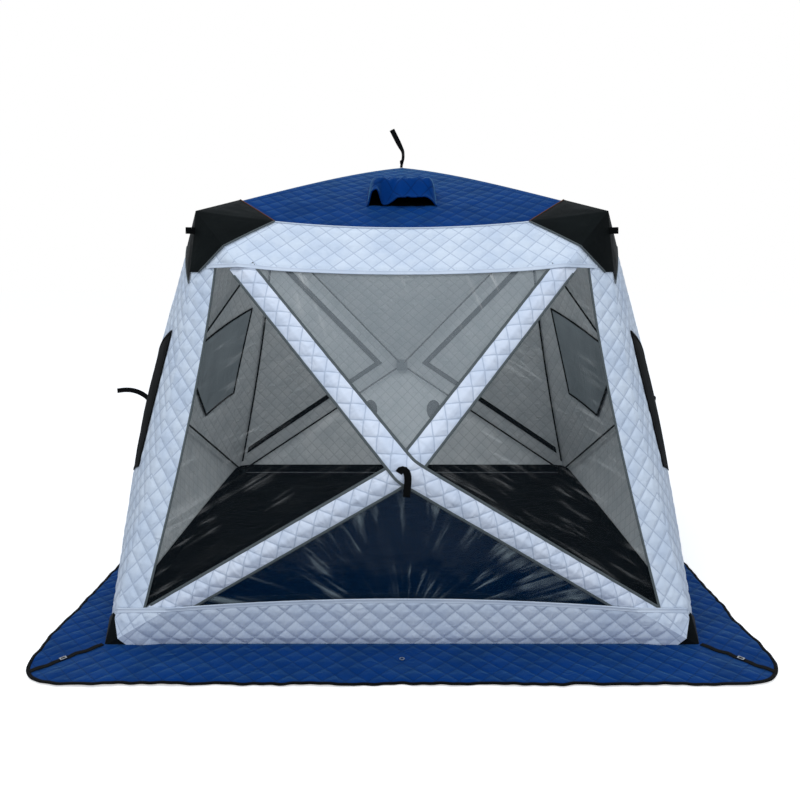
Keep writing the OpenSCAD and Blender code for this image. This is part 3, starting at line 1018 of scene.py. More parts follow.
@dataclass(frozen=True)
class PlatedSteel(Finish):
    """Nickel-plated steel: bright, with hairline scratches and duller patches from handling."""

    face: str = "#C9CBCD"
    patch: str = "#9EA1A4"

    def draw(self, tree: Tree) -> Socket:
        """Scratches 1 mm apart over a metal."""
        place = on_solid(tree)
        along = add(tree, "ShaderNodeMapping", {"Vector": place, "Scale": (1.0, 9.0, 1.0)}).outputs[0]
        fine = noise(tree, along, 300.0, 2.0)
        dull = noise(tree, place, 90.0, 3.0)
        feeds = {
            "Base Color": mixed(tree, dull, linear(self.face), linear(self.patch)),
            "Metallic": 1.0,
            "Roughness": ramped(tree, dull, 0.3, 0.7, 0.2, 0.42),
        }
        return shaded(tree, weighed(tree, (fine, 0.0002)), feeds)


# The second colour of each quilted finish is painted shade along its stitch lines
WHITE_QUILT = QuiltedPolyester("white_oxford_quilted", "#CDDAEA", "#A3B2C8", "#C0CFE3", rough=0.5, crease=0.6)
STRIP_QUILT = QuiltedPolyester("white_oxford_strip", "#D2DCEC", "#9FAEC4", "#C3D0E4", rough=0.45, crease=1.1)
BLUE_SHEEN = {"gloss": 0.02, "sheen": 0.55, "sheen_tint": "#6AA8C8"}
BLUE_QUILT = QuiltedPolyester(
    "blue_oxford_quilted", "#023072", "#022154", "#022B66", crease=0.5, puff=0.001, **BLUE_SHEEN
)
BLUE_HEM = PlainPolyester("blue_oxford_hem", "#03306F", "#032759", crease=0.3, gloss=0.05)
HEM_CLOTH = PlainPolyester("white_oxford_hem", "#C6D2E2", "#B8C6D9", rough=0.45, crease=0.4)
# GREY_LINING is paler than the lining's own grey cloth: the extra paleness is painted light, for the light that comes
# through the walls into the hut
GREY_LINING = QuiltedPolyester("grey_coated_lining", "#D8DEE1", "#B4BDC1", "#CBD3D7", crease=0.9, gloss=0.1)
BLACK_CLOTH = PlainPolyester("black_oxford_pocket", "#0A0E0F", "#101516", crease=0.5, gloss=0.06, sheen=0.05)
GROUND_CLOTH = PlainPolyester("navy_ground_cloth", "#010305", "#03070C", rough=0.6, crease=1.2, gloss=0.02)
GREY_BINDING = WovenTape("grey_woven_binding", "#697276", "#4D5558")
BLACK_WEBBING = WovenTape("black_woven_webbing", "#090B0C", "#040506")
ZIP_BAND = WovenTape("black_zip_tape", "#101315", "#08090A", pitch=0.004)
WHITE_PIPING = WovenTape("white_corded_piping", "#D3DDEA", "#B7C4D6", pitch=0.006, rough=0.5)
RUST_PIPING = WovenTape("rust_corded_piping", "#7A4B30", "#4B2E1F", pitch=0.006, rough=0.55)
# The second colour of each film finish is painted highlight along its creases, for glints and reflections
TOP_VINYL = ClearVinyl("hazy_cast_vinyl", "#A9B5BD", "#EEF3F6", 0.30, run=(20.0, 1.8), turn=0.35, crease=0.5)
SIDE_VINYL = {"haze": "#2E3C46", "painted_highlight": "#F6FAFC", "cover": 0.09, "run": (38.0, 3.0), "crease": 0.3, "sparse": 0.52}
LEFT_VINYL = ClearVinyl("clear_cast_vinyl_left", turn=-1.0, **SIDE_VINYL)
RIGHT_VINYL = ClearVinyl("clear_cast_vinyl_right", turn=1.0, **SIDE_VINYL)
LOW_VINYL = ClearVinyl(
    "blue_cast_vinyl", "#032C4E", "#A9BCC6", 0.42, run=(11.0, 2.5), crease=0.25, sparse=0.50, fan=0.72
)
WINDOW_COVER = ClearVinyl(
    "window_over_black_cover", "#030506", "#0B0F11", 1.0, run=(8.0, 26.0), rough=0.5, crease=0.4, gloss=0.02
)
WINDOW_INNER = PlainPolyester("window_cover_inside", "#A0ABB1", "#929DA3", crease=1.0, stretch=3.0)
VENT_MESH = InsectMesh("black_knitted_mesh", "#07090B", "#010202")
HUB_NYLON = MouldedPlastic("grey_moulded_nylon", "#5B6468", "#717A7E")
FITTING_NYLON = MouldedPlastic("black_moulded_nylon", "#0D0F10", "#1A1D1F", gloss=0.25)
POLE_ROD = MouldedPlastic("black_glass_fibre_rod", "#070808", "#101213", rough=0.32, drawn=True, gloss=0.25)
PLATED = PlatedSteel("nickel_plated_steel")


# ---- putting pieces in


@dataclass
class Works:
    """Takes in finished pieces: gives each its finish and its body, and reports it."""

    count: int = 0

    def take(
        self,
        piece: bpy.types.Object,
        finish: Finish,
        slot: str,
        stands_for: Sequence[str] = (),
        cut: tuple[float, float] | None = None,
        area: float | None = None,
        held: str = "stretched",
        rests_on: Sequence[str] = (),
    ) -> None:
        """Dresses a piece and puts it on the hut.

        Args:
            piece: the object.
            finish: its material.
            slot: the record's slot that the finish belongs to; not used.
            stands_for: CAD nodes that it replaces.
            cut: width and length of a cloth sheet before sewing, or nothing for other pieces; not used.
            area: the sheet's flat area where the cut isn't a rectangle; not used.
            held: how the sheet is held; not used.
            rests_on: what the sheet lies on; not used.
        """
        piece.data.materials.clear()
        piece.data.materials.append(finish.material())
        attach(piece, "root")
        if stands_for:
            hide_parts(*stands_for)
        self.count += len(piece.data.polygons)
        log.info("%s: %d faces, %s", piece.name, len(piece.data.polygons), finish.name)

    def keep(self, node: str, finish: Finish) -> None:
        """Leaves a CAD node in place and gives it a better finish."""
        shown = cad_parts[node]
        shown.data.materials.clear()
        shown.data.materials.append(finish.material())
        log.info("%s: CAD shape kept, %s", node, finish.name)


def area_of(outline: Array) -> float:
    """Area inside an outline, by the shoelace rule."""
    nxt = np.roll(outline, -1, 0)
    return abs(float((outline[:, 0] * nxt[:, 1] - nxt[:, 0] * outline[:, 1]).sum())) / 2


def sized(outline: Array) -> dict[str, Any]:
    """A flat sheet's cut, which is the smallest rectangle round its outline, and its area."""
    sizes = []
    for x, y in unit(np.roll(outline, -1, 0) - outline):
        sizes.append(np.ptp(outline @ np.array([[x, -y], [y, x]]), 0))
    best = min(sizes, key=np.prod)
    return {"cut": (float(best[0]), float(best[1])), "area": area_of(outline)}


def mirrored(points: Pairs) -> list[tuple[float, float]]:
    """Places on the other half of a wall, in the opposite order, so that they stay anticlockwise."""
    return [(-x, z) for x, z in reversed(points)]


def outlined(
    wall: int,
    face: Face,
    outline: Array,
    depths: Sequence[float],
    profile: Array,
    step: float = PATH_STEP,
) -> Surface:
    """A profile carried once round an outline on a face, at one or more depths.

    Args:
        wall: quarter turns from the front wall.
        face: the face.
        outline: corners, anticlockwise.
        depths: how far inside the outer face each ring lies.
        profile: the closed profile.
        step: distance between places on the path.

    Returns:
        The closed rings.
    """
    rings = []
    for depth in depths:
        sides = [SHELL.line(wall, face, p, q, depth, step)[:-1] for p, q in zip(outline, np.roll(outline, -1, 0))]
        rings.append(swept(np.vstack(sides), SHELL.outward(wall, face), profile, closed=True))
    return Surface.joined(rings)


def corded(wall: int, face: Face, ends: Array, depth: float, profile: Array) -> Surface:
    """A profile carried straight between two flat places on a face, at a depth."""
    return swept(SHELL.line(wall, face, ends[0], ends[-1], depth), SHELL.outward(wall, face), profile)


def seam_path(parts: Sequence[tuple[Face, Array, Array]], lift: Lift) -> tuple[Array, Array]:
    """A seam that runs over several faces of the front wall.

    Args:
        parts: face, first and last flat place of each stretch, in order.
        lift: gives how far the seam stands out of the face at flat places.

    Returns:
        Points of the path, and the outward direction at each.
    """
    lines, outs = [], []
    for face, a, b in parts:
        uv = between(a, b)
        lines.append(SHELL.place(0, face, uv, 0.0, lift(face, uv)))
        outs.append(np.repeat(SHELL.outward(0, face), len(uv), 0))
    path, out = np.vstack(lines), np.vstack(outs)
    new = np.r_[True, np.linalg.norm(np.diff(path, axis=0), axis=1) > 1e-5]
    path, out = path[new], out[new]
    for _ in range(3):
        out = unit(np.vstack([out[:1], (out[:-2] + 2 * out[1:-1] + out[2:]) / 4, out[-1:]]))
    return path, out


# ---- roof and walls


@dataclass
class Roof:
    """One continuous quilted canopy over the four hips, its lining, and the corded seam round the eaves."""

    works: Works
    quilting: Quilting = Quilting(puff=0.0024, waves=0.005)
    lining_in: float = 0.0065
    cord: float = 0.007
    cut: tuple[float, float] = (1.86, 1.86)

    def canopy(self) -> Surface:
        """The four slopes as one sheet, welded along the hips."""
        outline = SHELL.plane(Face.ROOF).outline
        reliefs = [self.quilting.relief(Face.ROOF, Seed.ROOF + k) for k in range(4)]
        return Surface.joined([cloth(k, Face.ROOF, outline, 0, relief) for k, relief in enumerate(reliefs)])

    def lining(self) -> Surface:
        """The same slopes inside the padding, facing in."""
        relief = Ripple(Seed.ROOF_LINING, 0.5, -0.003, one_way=True)
        outline = SHELL.plane(Face.ROOF).outline
        slopes = [cloth(k, Face.ROOF, outline, self.lining_in, relief, STEP * 3) for k in range(4)]
        return Surface.joined(slopes).inside_out()

    def eave_seams(self) -> Surface:
        """A round cord along each eave."""
        corners = SHELL.plane(Face.ROOF).outline
        path = np.vstack([SHELL.line(k, Face.ROOF, corners[0], corners[1], -0.002)[:-1] for k in range(4)])
        return swept(path, UPWARDS, oval(self.cord, self.cord), closed=True)

    def build(self) -> None:
        """Builds and dresses the roof."""
        sheet = {"cut": self.cut, "area": 4 * area_of(SHELL.plane(Face.ROOF).outline), "rests_on": ["roof_poles"]}
        nodes = ["roof_front", "roof_right", "roof_back", "roof_left"]
        self.works.take(self.canopy().piece("roof_canopy"), BLUE_QUILT, "blue_quilt", nodes, **sheet)
        self.works.take(self.lining().piece("roof_lining"), GREY_LINING, "white_quilt", **sheet)
        self.works.take(self.eave_seams().piece("eave_cord"), WHITE_PIPING, "white_quilt")


@dataclass
class QuiltedWall:
    """A closed wall: one quilted sheet folded over the hub's four poles, with its lining, and windows or vents."""

    works: Works
    wall: int
    nodes: Sequence[str]
    windows: bool = True
    vents: bool = False
    cut: tuple[float, float] = (2.4, 2.0)
    quilting: Quilting = Quilting()
    lining_in: float = 0.0065
    window: Pairs = ((0.842, 1.190), (0.334, 0.995), (0.368, 0.775), (0.587, 0.512), (0.865, 0.606))
    binding: float = 0.014
    vent_out: float = 0.230
    vent_up: float = 0.418
    vent_size: tuple[float, float] = (0.045, 0.062)
    zip_in: float = 0.097
    zip_wide: float = 0.036

    def holes(self, face: Face) -> list[Array]:
        """Window outlines on a face."""
        if not self.windows or face not in (Face.LEFT, Face.RIGHT):
            return []
        return [SHELL.across(face, list(self.window) if face is Face.RIGHT else mirrored(self.window))]

    def vent_rings(self) -> list[Array]:
        """Outlines of the oval vents on the low face."""
        t = np.linspace(0, 2 * math.pi, 40, endpoint=False)
        a, b = self.vent_size
        x, z = a * np.cos(t), self.vent_up + b * np.sin(t)
        return [SHELL.across(Face.LOW, np.stack([middle + x, z], 1)) for middle in (-self.vent_out, self.vent_out)]

    def relief(self, face: Face) -> Relief:
        """Padding that lies flat under windows and vents."""
        flat = self.holes(face) + (self.vent_rings() if self.vents and face is Face.LOW else [])
        padding = self.quilting.relief(face, Seed.WALL + 10 * self.wall + list(Face).index(face))

        def rise(uv: Array, edge: Array) -> Array:
            """Height of the cloth above its stitched seams."""
            height = padding(uv, edge)
            for outline in flat:
                height = height * (1 - ease(inside(outline, uv), -0.02, 0.004))
            return height

        return rise

    def shell(self) -> Surface:
        """The outer sheet, welded along the pole seams."""
        return Surface.joined([cloth(self.wall, f, SHELL.plane(f).outline, 0, self.relief(f)) for f in WALL_FACES])

    def lining(self) -> Surface:
        """The lining, facing in."""
        relief = Ripple(Seed.WALL_LINING + self.wall, 0.4, -0.0035, one_way=True)
        parts = [cloth(self.wall, f, SHELL.plane(f).outline, self.lining_in, relief, STEP * 2) for f in WALL_FACES]
        return Surface.joined(parts).inside_out()

    def add_windows(self, node: str) -> None:
        """Dark covers behind clear film outside, plain covers inside, and a binding round both."""
        ripple = Ripple(Seed.WINDOW + self.wall, 0.25, 0.003, rest=0.002, fade=0.05)
        profile = oval(self.binding, 0.005, 10, 0.6)
        for face in (Face.LEFT, Face.RIGHT):
            for outline in self.holes(face):
                name = f"{SIDES[self.wall]}_window_{face.name.lower()}"
                sheet = sized(outline)
                outer = cloth(self.wall, face, outline, -0.002, ripple, STEP * 1.5)
                inner = cloth(self.wall, face, outline, self.lining_in + 0.010, ripple, STEP * 1.5).inside_out()
                self.works.take(outer.piece(name), WINDOW_COVER, "dark_window", [node], **sheet)
                self.works.take(inner.piece(name + "_inside"), WINDOW_INNER, "black_fabric", **sheet)
                middle = outline.mean(0)
                bound = middle + (outline - middle) * 0.975
                rims = outlined(self.wall, face, bound, (-0.004, self.lining_in + 0.009), profile)
                self.works.take(rims.piece(name + "_binding"), BLACK_WEBBING, "webbing")

    def add_vents(self, node: str) -> None:
        """Mesh ovals with corded rims, on both faces of the cloth."""
        steps = 5
        for i, ring in enumerate(self.vent_rings()):
            centre = ring.mean(0)
            uv = (centre + (ring - centre) * np.linspace(0, 1, steps + 1)[:, None, None]).reshape(-1, 2)
            m = len(ring)
            rows, column = np.arange(steps)[:, None] * m, np.arange(m)
            a, b = (rows + column).reshape(-1), (rows + (column + 1) % m).reshape(-1)
            tris = np.concatenate([np.stack([a, a + m, b + m], 1), np.stack([a, b + m, b], 1)])
            name, sheet = f"back_vent_{i}", sized(ring)
            outer = Surface(SHELL.place(self.wall, Face.LOW, uv, -0.002), tris, uv)
            inner = Surface(SHELL.place(self.wall, Face.LOW, uv, self.lining_in + 0.006), tris, uv).inside_out()
            self.works.take(outer.piece(name), VENT_MESH, "mesh", [node], **sheet)
            self.works.take(inner.piece(name + "_inside"), VENT_MESH, "mesh", **sheet)
            rims = outlined(self.wall, Face.LOW, ring, (-0.003, self.lining_in + 0.007), oval(0.010, 0.006), 0.02)
            self.works.take(rims.piece(name + "_rim"), BLACK_WEBBING, "webbing")

    def add_zips(self, node: str) -> None:
        """Flat zip bands inside the pole seams of both doors, with a toothed chain down their middles."""
        far, middle = self.zip_in + self.zip_wide, self.zip_in + 0.5 * self.zip_wide
        for face in (Face.LEFT, Face.RIGHT):
            for j, near in enumerate((1, 0)):
                outline = SHELL.region(face, off={2: 0.03, 0: self.zip_in, 1: self.zip_in}, near={near: far})
                name, sheet = f"back_zip_{face.name.lower()}_{j}", sized(outline)
                over = 0.0006 * j
                inner = cloth(self.wall, face, outline, self.lining_in + 0.006 + over, None, STEP * 2).inside_out()
                self.works.take(inner.piece(name), ZIP_BAND, "zip_tape", [node], **sheet)
                outer = cloth(self.wall, face, outline, -0.008 - over, None, STEP * 2)
                self.works.take(outer.piece(name + "_outside"), ZIP_BAND, "zip_tape", **sheet)
                line = SHELL.region(face, off={near: middle, 2: 0.05, j: middle}, near={near: middle + 1e-4})
                ends = line[np.argsort(line[:, 1])]
                depths = (-0.0095, self.lining_in + 0.008)
                chain = [corded(self.wall, face, ends, depth, oval(0.006, 0.004, 8, 0.7)) for depth in depths]
                self.works.take(Surface.joined(chain).piece(name + "_chain"), BLACK_WEBBING, "zip_tape")

    def build(self) -> None:
        """Builds and dresses the wall, with its windows, vents and doors."""
        side = SIDES[self.wall]
        area = sum(area_of(SHELL.plane(f).outline) for f in WALL_FACES)
        sheet = {"cut": self.cut, "area": area, "rests_on": [f"{side}_poles"]}
        self.works.take(self.shell().piece(f"{side}_wall"), WHITE_QUILT, "white_quilt", self.nodes, **sheet)
        self.works.take(self.lining().piece(f"{side}_wall_lining"), GREY_LINING, "white_quilt", **sheet)
        if self.windows:
            self.add_windows(f"{side}_windows")
        if self.vents:
            self.add_vents("back_vents")
            self.add_zips("back_zips")


# ---- front wall


@dataclass
class ClearFront:
    """The front wall: a band over and under clear panes, strips beside the corners, and two that cross at the hub."""

    works: Works
    band_z: float = 1.466
    sill_mid: float = 0.201
    sill_crease: float = 0.168
    sill_end: float = 0.128
    strip: float = 0.135
    cross: float = 0.045
    cross_ends: tuple[float, float] = (0.30, 0.19)
    cross_turn: float = 0.055
    hub_shift: float = 0.014
    tape: float = 0.011
    valance_cut: tuple[float, float] = (2.0, 0.34)
    sill_cut: tuple[float, float] = (2.3, 0.24)
    pane_in: float = 0.003
    quilting: Quilting = Quilting()

    def sill_reach(self) -> float:
        """Distance from the wall's middle to the sill's crease."""
        return SHELL.foot * (1 - self.sill_crease / SHELL.hub_z)

    def valance_parts(self) -> list[tuple[Face, Array]]:
        """Outlines of the top band on its three faces, left to right."""
        return [(f, SHELL.region(f, above=self.band_z)) for f in (Face.LEFT, Face.HIGH, Face.RIGHT)]

    def sill_parts(self) -> list[tuple[Face, Array]]:
        """Outlines of the sill on its three faces, left to right.

        Its upper edge bows up between the pole seams, and its lower corners are cut away round the foot pockets.
        """
        plane, reach = SHELL.plane(Face.LOW), self.sill_reach()
        low = SHELL.region(Face.LOW, below=self.sill_mid)
        fall = self.sill_mid - self.sill_crease
        for x in np.linspace(-0.95, 0.95, 13) * reach:
            z, slope = self.sill_mid - fall * (x / reach) ** 2, -2 * fall * x / reach**2
            low = trimmed(low, np.array([slope, -plane.up[2], z - slope * x - plane.origin[2]]), 0)
        across, up, least = 0.695, 0.719, 0.0723  # the cut's slope, and its distance from the foot
        for s in (-1, 1):
            corner = np.array([-across * s, up * plane.up[2], across * SHELL.foot + up * plane.origin[2]])
            low = trimmed(low, corner, least)
        left, right = (self.sill_end_part(face, s) for face, s in ((Face.LEFT, -1), (Face.RIGHT, 1)))
        return [left, (Face.LOW, low), right]

    def sill_end_part(self, face: Face, s: int) -> tuple[Face, Array]:
        """Outline of the sill beyond its crease, on the left face (s = -1) or the right one."""
        plane = SHELL.plane(face)
        a, b = SHELL.across(face, [(s * self.sill_reach(), self.sill_crease), (s * 1.125, self.sill_end)])
        top = np.array([(b - a)[1], -(b - a)[0], 0.0]) * s
        top[2] = -top[:2] @ a
        outline = trimmed(plane.outline, top, 0)
        outline = trimmed(outline, plane.edge(2), 0.020)
        return face, trimmed(outline, plane.edge(2) * 0.859 + plane.height() * 0.513, 0.071)

    def sheet(self, parts: Sequence[tuple[Face, Array]], lift: Lift, seed: int) -> Surface:
        """One quilted sheet over several faces.

        Args:
            parts: faces and outlines.
            lift: how far the sheet stands over the strips at each flat place.
            seed: fixes its waves.

        Returns:
            The surface.
        """

        def part(face: Face, outline: Array, padding: Relief) -> Surface:
            """The sheet on one face."""
            return cloth(0, face, outline, 0, lambda uv, edge: padding(uv, edge) + lift(face, uv))

        return Surface.joined([part(f, o, self.quilting.relief(f, seed + i)) for i, (f, o) in enumerate(parts)])

    def valance_lift(self, face: Face, uv: Array) -> Array:
        """How far the top band stands out: most along its lower edge, and more over the crossing strips."""
        plane = SHELL.plane(face)
        away = np.min([np.abs(value_at(plane.edge(i), uv)) for i in (0, 1)], axis=0)
        stands = 0.006 + 0.007 * np.exp(-((away / 0.07) ** 2))
        low = 1 - ease(value_at(plane.height(), uv), self.band_z, self.band_z + 0.14)
        return stands * low * open_part(face, uv)

    def sill_lift(self, face: Face, uv: Array) -> Array:
        """How far the sill stands out: 12 mm, but less along the ground between the feet."""
        beside = ease(np.abs(uv[:, 0]), 0.9, 1.0) if face is Face.LOW else 1.0
        return 0.012 * np.maximum(ease(value_at(SHELL.plane(face).height(), uv), 0.0, 0.06), beside)

    def add_valance(self) -> None:
        """The top band and its corded hem, which end at the eave pockets."""
        parts = self.valance_parts()
        sheet = {"cut": self.valance_cut, "area": sum(area_of(o) for _, o in parts)}
        band = self.sheet(parts, self.valance_lift, Seed.VALANCE).piece("front_valance_quilt")
        self.works.take(band, WHITE_QUILT, "white_quilt", ["front_valance"], **sheet)
        ends = {f: list(self.low_edge(o)) for f, o in parts}
        ends[Face.LEFT][0] = self.meets_pocket(Face.LEFT, *ends[Face.LEFT])
        ends[Face.RIGHT][1] = self.meets_pocket(Face.RIGHT, *ends[Face.RIGHT][::-1])
        hem = self.hem([(f, *ends[f]) for f, _ in parts], self.valance_lift)
        self.works.take(hem.piece("front_valance_hem"), HEM_CLOTH, "white_quilt")

    def meets_pocket(self, face: Face, end: Array, other: Array) -> Array:
        """The place where a line on a face leaves the eave pocket."""
        line = end + (other - end) * np.linspace(0, 1, 200)[:, None]
        return line[int(np.argmax(inside(pocket(face, 0), line) < 0))]

    def low_edge(self, outline: Array) -> tuple[Array, Array]:
        """Left and right ends of an outline's lower edge."""
        low = outline[np.abs(outline[:, 1] - outline[:, 1].min()) < 1e-6]
        return low[low[:, 0].argmin()], low[low[:, 0].argmax()]

    def hem(self, parts: Sequence[tuple[Face, Array, Array]], lift: Lift) -> Surface:
        """A flat hem 18 mm wide between two stitched ridges, carried along a seam over several faces."""
        path, out = seam_path(parts, lift)
        half, count = 0.009, 15
        t = np.linspace(-1, 1, count)
        top = 0.0020 + 0.0014 * np.exp(-(((np.abs(t) - 0.72) / 0.16) ** 2))
        under = np.stack([t[::-1] * half, np.full(count, -0.001)], 1)
        return swept(path, out, np.vstack([np.stack([t * half, top], 1), under])[::-1])

    def add_sill(self) -> None:
        """The bottom band and its corded upper edge."""
        parts = self.sill_parts()
        sheet = {"cut": self.sill_cut, "area": sum(area_of(o) for _, o in parts)}
        band = self.sheet(parts, self.sill_lift, Seed.SILL).piece("front_sill_quilt")
        self.works.take(band, WHITE_QUILT, "white_quilt", ["front_sill"], **sheet)
        low = parts[1][1]
        top = low[low[:, 1] > SHELL.plane(Face.LOW).level(self.sill_crease) - 1e-4]
        top = top[np.argsort(top[:, 0])]
        crease, end = (self.sill_reach(), self.sill_crease), (1.112, self.sill_end + 0.003)
        left = SHELL.across(Face.LEFT, mirrored([crease, end]))
        right = SHELL.across(Face.RIGHT, [crease, end])
        runs = [(Face.LEFT, *left), *((Face.LOW, a, b) for a, b in zip(top[:-1], top[1:])), (Face.RIGHT, *right)]
        self.works.take(self.hem(runs, self.sill_lift).piece("front_sill_hem"), HEM_CLOTH, "white_quilt")

    def add_side_strips(self) -> None:
        """Quilted strips beside the corners, with a grey tape on their inner edges."""
        for face in (Face.LEFT, Face.RIGHT):
            outline = SHELL.region(face, above=0.06, below=self.band_z + 0.03, near={2: self.strip})
            relief = self.quilting.relief(face, Seed.SIDE_STRIP + list(Face).index(face))
            strip, name = cloth(0, face, outline, 0, relief), f"front_{face.name.lower()}_strip"
            self.works.take(strip.piece(name), WHITE_QUILT, "white_quilt", ["front_side_strips"], **sized(outline))
            limits = {"off": {2: self.strip - 0.001}, "near": {2: self.strip + 0.001}}
            inner = SHELL.region(face, above=0.10, below=self.band_z + 0.02, **limits)
            tape = corded(0, face, inner[np.argsort(inner[:, 1])], -0.001, oval(self.tape, 0.0035, 10, 0.6))
            self.works.take(tape.piece(name + "_tape"), GREY_BINDING, "zip_tape")

    def arms(self, over: bool) -> tuple[str, str, str, str]:
        """Corners that a crossing strip runs between, and the corners beyond its left and right halves."""
        if over:
            return "eave_left", "foot_right", "foot_left", "eave_right"
        return "eave_right", "foot_left", "eave_left", "foot_right"

    def arm_lengths(self, over: bool) -> tuple[float, float]:
        """How far a crossing strip runs from the hub, up and down."""
        whole = [float(np.linalg.norm(SHELL.corner(n) - SHELL.corner("hub"))) for n in self.arms(over)[:2]]
        return whole[0] - self.cross_ends[0], whole[1] - self.cross_ends[1]

    def strip_grid(self, over: bool, s: Array, t: Array, lift: Array | float) -> Array:
        """Places on a crossing strip.

        The middle line is hub + r(-s)·a + r(s)·b, where a and b run to the strip's two corners and r(x) is a softened
        max(x, 0). Across it, each half leaves along its own face, and the halves turn smoothly from one arm's faces to
        the other's near the hub.

        Args:
            over: whether it is the upper strip.
            s: distance along, negative towards the eave.
            t: distance across.
            lift: how far it stands out.

        Returns:
            Points of shape (len(s), len(t), 3).
        """
        top, bottom, first, second = (SHELL.corner(n) for n in self.arms(over))
        hub = SHELL.corner("hub") + np.array([self.hub_shift, 0.0, 0.0])
        a, b = unit(top - hub), unit(bottom - hub)

        def soften(x: Array) -> Array:
            """0 below zero and x above it, with a smooth bend between."""
            return (x + np.sqrt(x * x + 0.02**2)) / 2

        def lean(to: Array, arm: Array) -> Array:
            """The direction square to an arm that leads towards a corner."""
            return unit((to - hub) - ((to - hub) @ arm) * arm)

        path = hub + soften(-s)[:, None] * a + soften(s)[:, None] * b
        turn = ease(s, -self.cross_turn, self.cross_turn)[:, None]
        halves = [unit(lean(c, a) * (1 - turn) + lean(c, b) * turn) for c in (first, second)]
        side = np.where(t[None, :, None] < 0, halves[0][:, None], halves[1][:, None])
        grid = path[:, None] + side * np.abs(t)[None, :, None]
        normal = unit(np.cross(np.gradient(grid, axis=1), np.gradient(grid, axis=0)))
        normal = normal * np.where(normal[..., 1:2] > 0, -1.0, 1.0)
        return grid + normal * np.broadcast_to(lift, grid.shape[:2])[..., None]

    def cross_strip(self, over: bool) -> tuple[Surface, Array]:
        """A crossing strip, and its two long edges."""
        step, half = STEP / 2, 9
        up, down = self.arm_lengths(over)
        s = np.arange(-math.floor(up / step), math.floor(down / step) + 1) * step
        t = np.arange(-half, half + 1) * step
        uv = np.stack(np.broadcast_arrays(t[None, :], s[:, None]), -1).reshape(-1, 2)
        edge = np.broadcast_to(self.cross + 0.001 - np.abs(t)[None], (len(s), len(t))).reshape(-1)
        padding = Quilting(puff=0.0030, hem=0.012, waves=0.0).height(uv, edge, Seed.CROSS_STRIP + over)
        pucker = 0.0026 * crumple(uv * np.array([0.6, 2.0]), Seed.CROSS_PUCKER + over, 0.10) * ease(edge, 0, 0.02)
        pad = (padding + 0.003 * ease(edge, 0, 0.03) + pucker).reshape(len(s), len(t))
        base = 0.003 + over * (0.0055 * (1 - ease(np.abs(s), 0.15, 0.5)) + 0.006 * np.exp(-((s / 0.05) ** 2)))
        sink = 0.05  # over which the strip sinks under the bands at its ends
        sunk = np.minimum(ease(s, s[0], s[0] + sink), ease(-s, -s[-1], -s[-1] + sink))
        points = self.strip_grid(over, s, t, pad * sunk[:, None] + base[:, None] * sunk[:, None]).reshape(-1, 3)
        k, h = np.round(s[:-1] / step).astype(int)[:, None], np.arange(-half, half)
        tris = split(len(s), len(t), ((k + h + 1) % (2 * CELLS) != 0).reshape(-1, 1))
        first = np.cross(points[tris[0, 1]] - points[tris[0, 0]], points[tris[0, 2]] - points[tris[0, 0]])
        surface = Surface(points, tris if first[1] < 0 else tris[:, ::-1], uv)
        # The tapes dive behind the bands at both ends
        at = np.array([-self.cross, -self.cross + 0.004, self.cross - 0.004, self.cross])
        rim = self.strip_grid(over, s, at, (base * sunk + 0.001 - 0.014 * (1 - sunk))[:, None])
        return surface, rim[:, [0, 3]]

    def rim_normals(self, over: bool, count: int, edge: int) -> Array:
        """Outward directions along a strip's edge, turning from one arm's face to the other's."""
        first, second = {
            (True, 0): (Face.LEFT, Face.LOW),
            (True, 1): (Face.HIGH, Face.RIGHT),
            (False, 0): (Face.HIGH, Face.LEFT),
            (False, 1): (Face.RIGHT, Face.LOW),
        }[(over, edge)]
        up, down = self.arm_lengths(over)
        turn = ease(np.linspace(-up, down, count), -self.cross_turn, self.cross_turn)[:, None]
        return unit(SHELL.plane(first).out * (1 - turn) + SHELL.plane(second).out * turn)

    def add_crossing(self) -> None:
        """Both crossing strips, each with a grey tape down either edge."""
        profile = oval(self.tape, 0.0045, 10, 0.6)
        for over, node in ((False, "front_cross_under"), (True, "front_cross_over")):
            surface, rim = self.cross_strip(over)
            cut = (2 * self.cross, float(np.ptp(surface.flat[:, 1])))
            self.works.take(surface.piece(node + "_quilt"), STRIP_QUILT, "white_quilt", [node], cut)
            tapes = [swept(rim[:, j], self.rim_normals(over, len(rim), j), profile) for j in (0, 1)]
            self.works.take(Surface.joined(tapes).piece(node + "_tapes"), GREY_BINDING, "zip_tape")

    def add_panes(self) -> None:
        """Four clear panes behind the strips, with slow waves and long folds."""
        side = {"above": 0.10, "below": self.band_z + 0.02, "off": {2: self.strip - 0.01}}
        panes = [
            ("front_window_top", Face.HIGH, TOP_VINYL, {"below": self.band_z + 0.02}),
            ("front_window_left", Face.LEFT, LEFT_VINYL, side),
            ("front_window_right", Face.RIGHT, RIGHT_VINYL, side),
            ("front_window_bottom", Face.LOW, LOW_VINYL, {"above": 0.16}),
        ]
        for i, (node, face, finish, limits) in enumerate(panes):
            outline = SHELL.region(face, **limits)
            waves = Ripple(Seed.PANE + i, 0.3, 0.004, fade=0.08)
            folds = Ripple(Seed.PANE_FOLD + i, 0.2, 0.002, fade=0.08)
            both = lambda uv, edge, waves=waves, folds=folds: waves(uv, edge) + folds(uv * np.array([3.0, 0.5]), edge)
            pane = cloth(0, face, outline, self.pane_in, both, STEP * 1.2).piece(node + "_pane")
            self.works.take(pane, finish, "clear_film", [node], **sized(outline))

    def build(self) -> None:
        """Builds and dresses the front wall."""
        self.add_panes()
        self.add_side_strips()
        self.add_crossing()
        self.add_valance()
        self.add_sill()


# ---- corners, skirt, vent and straps


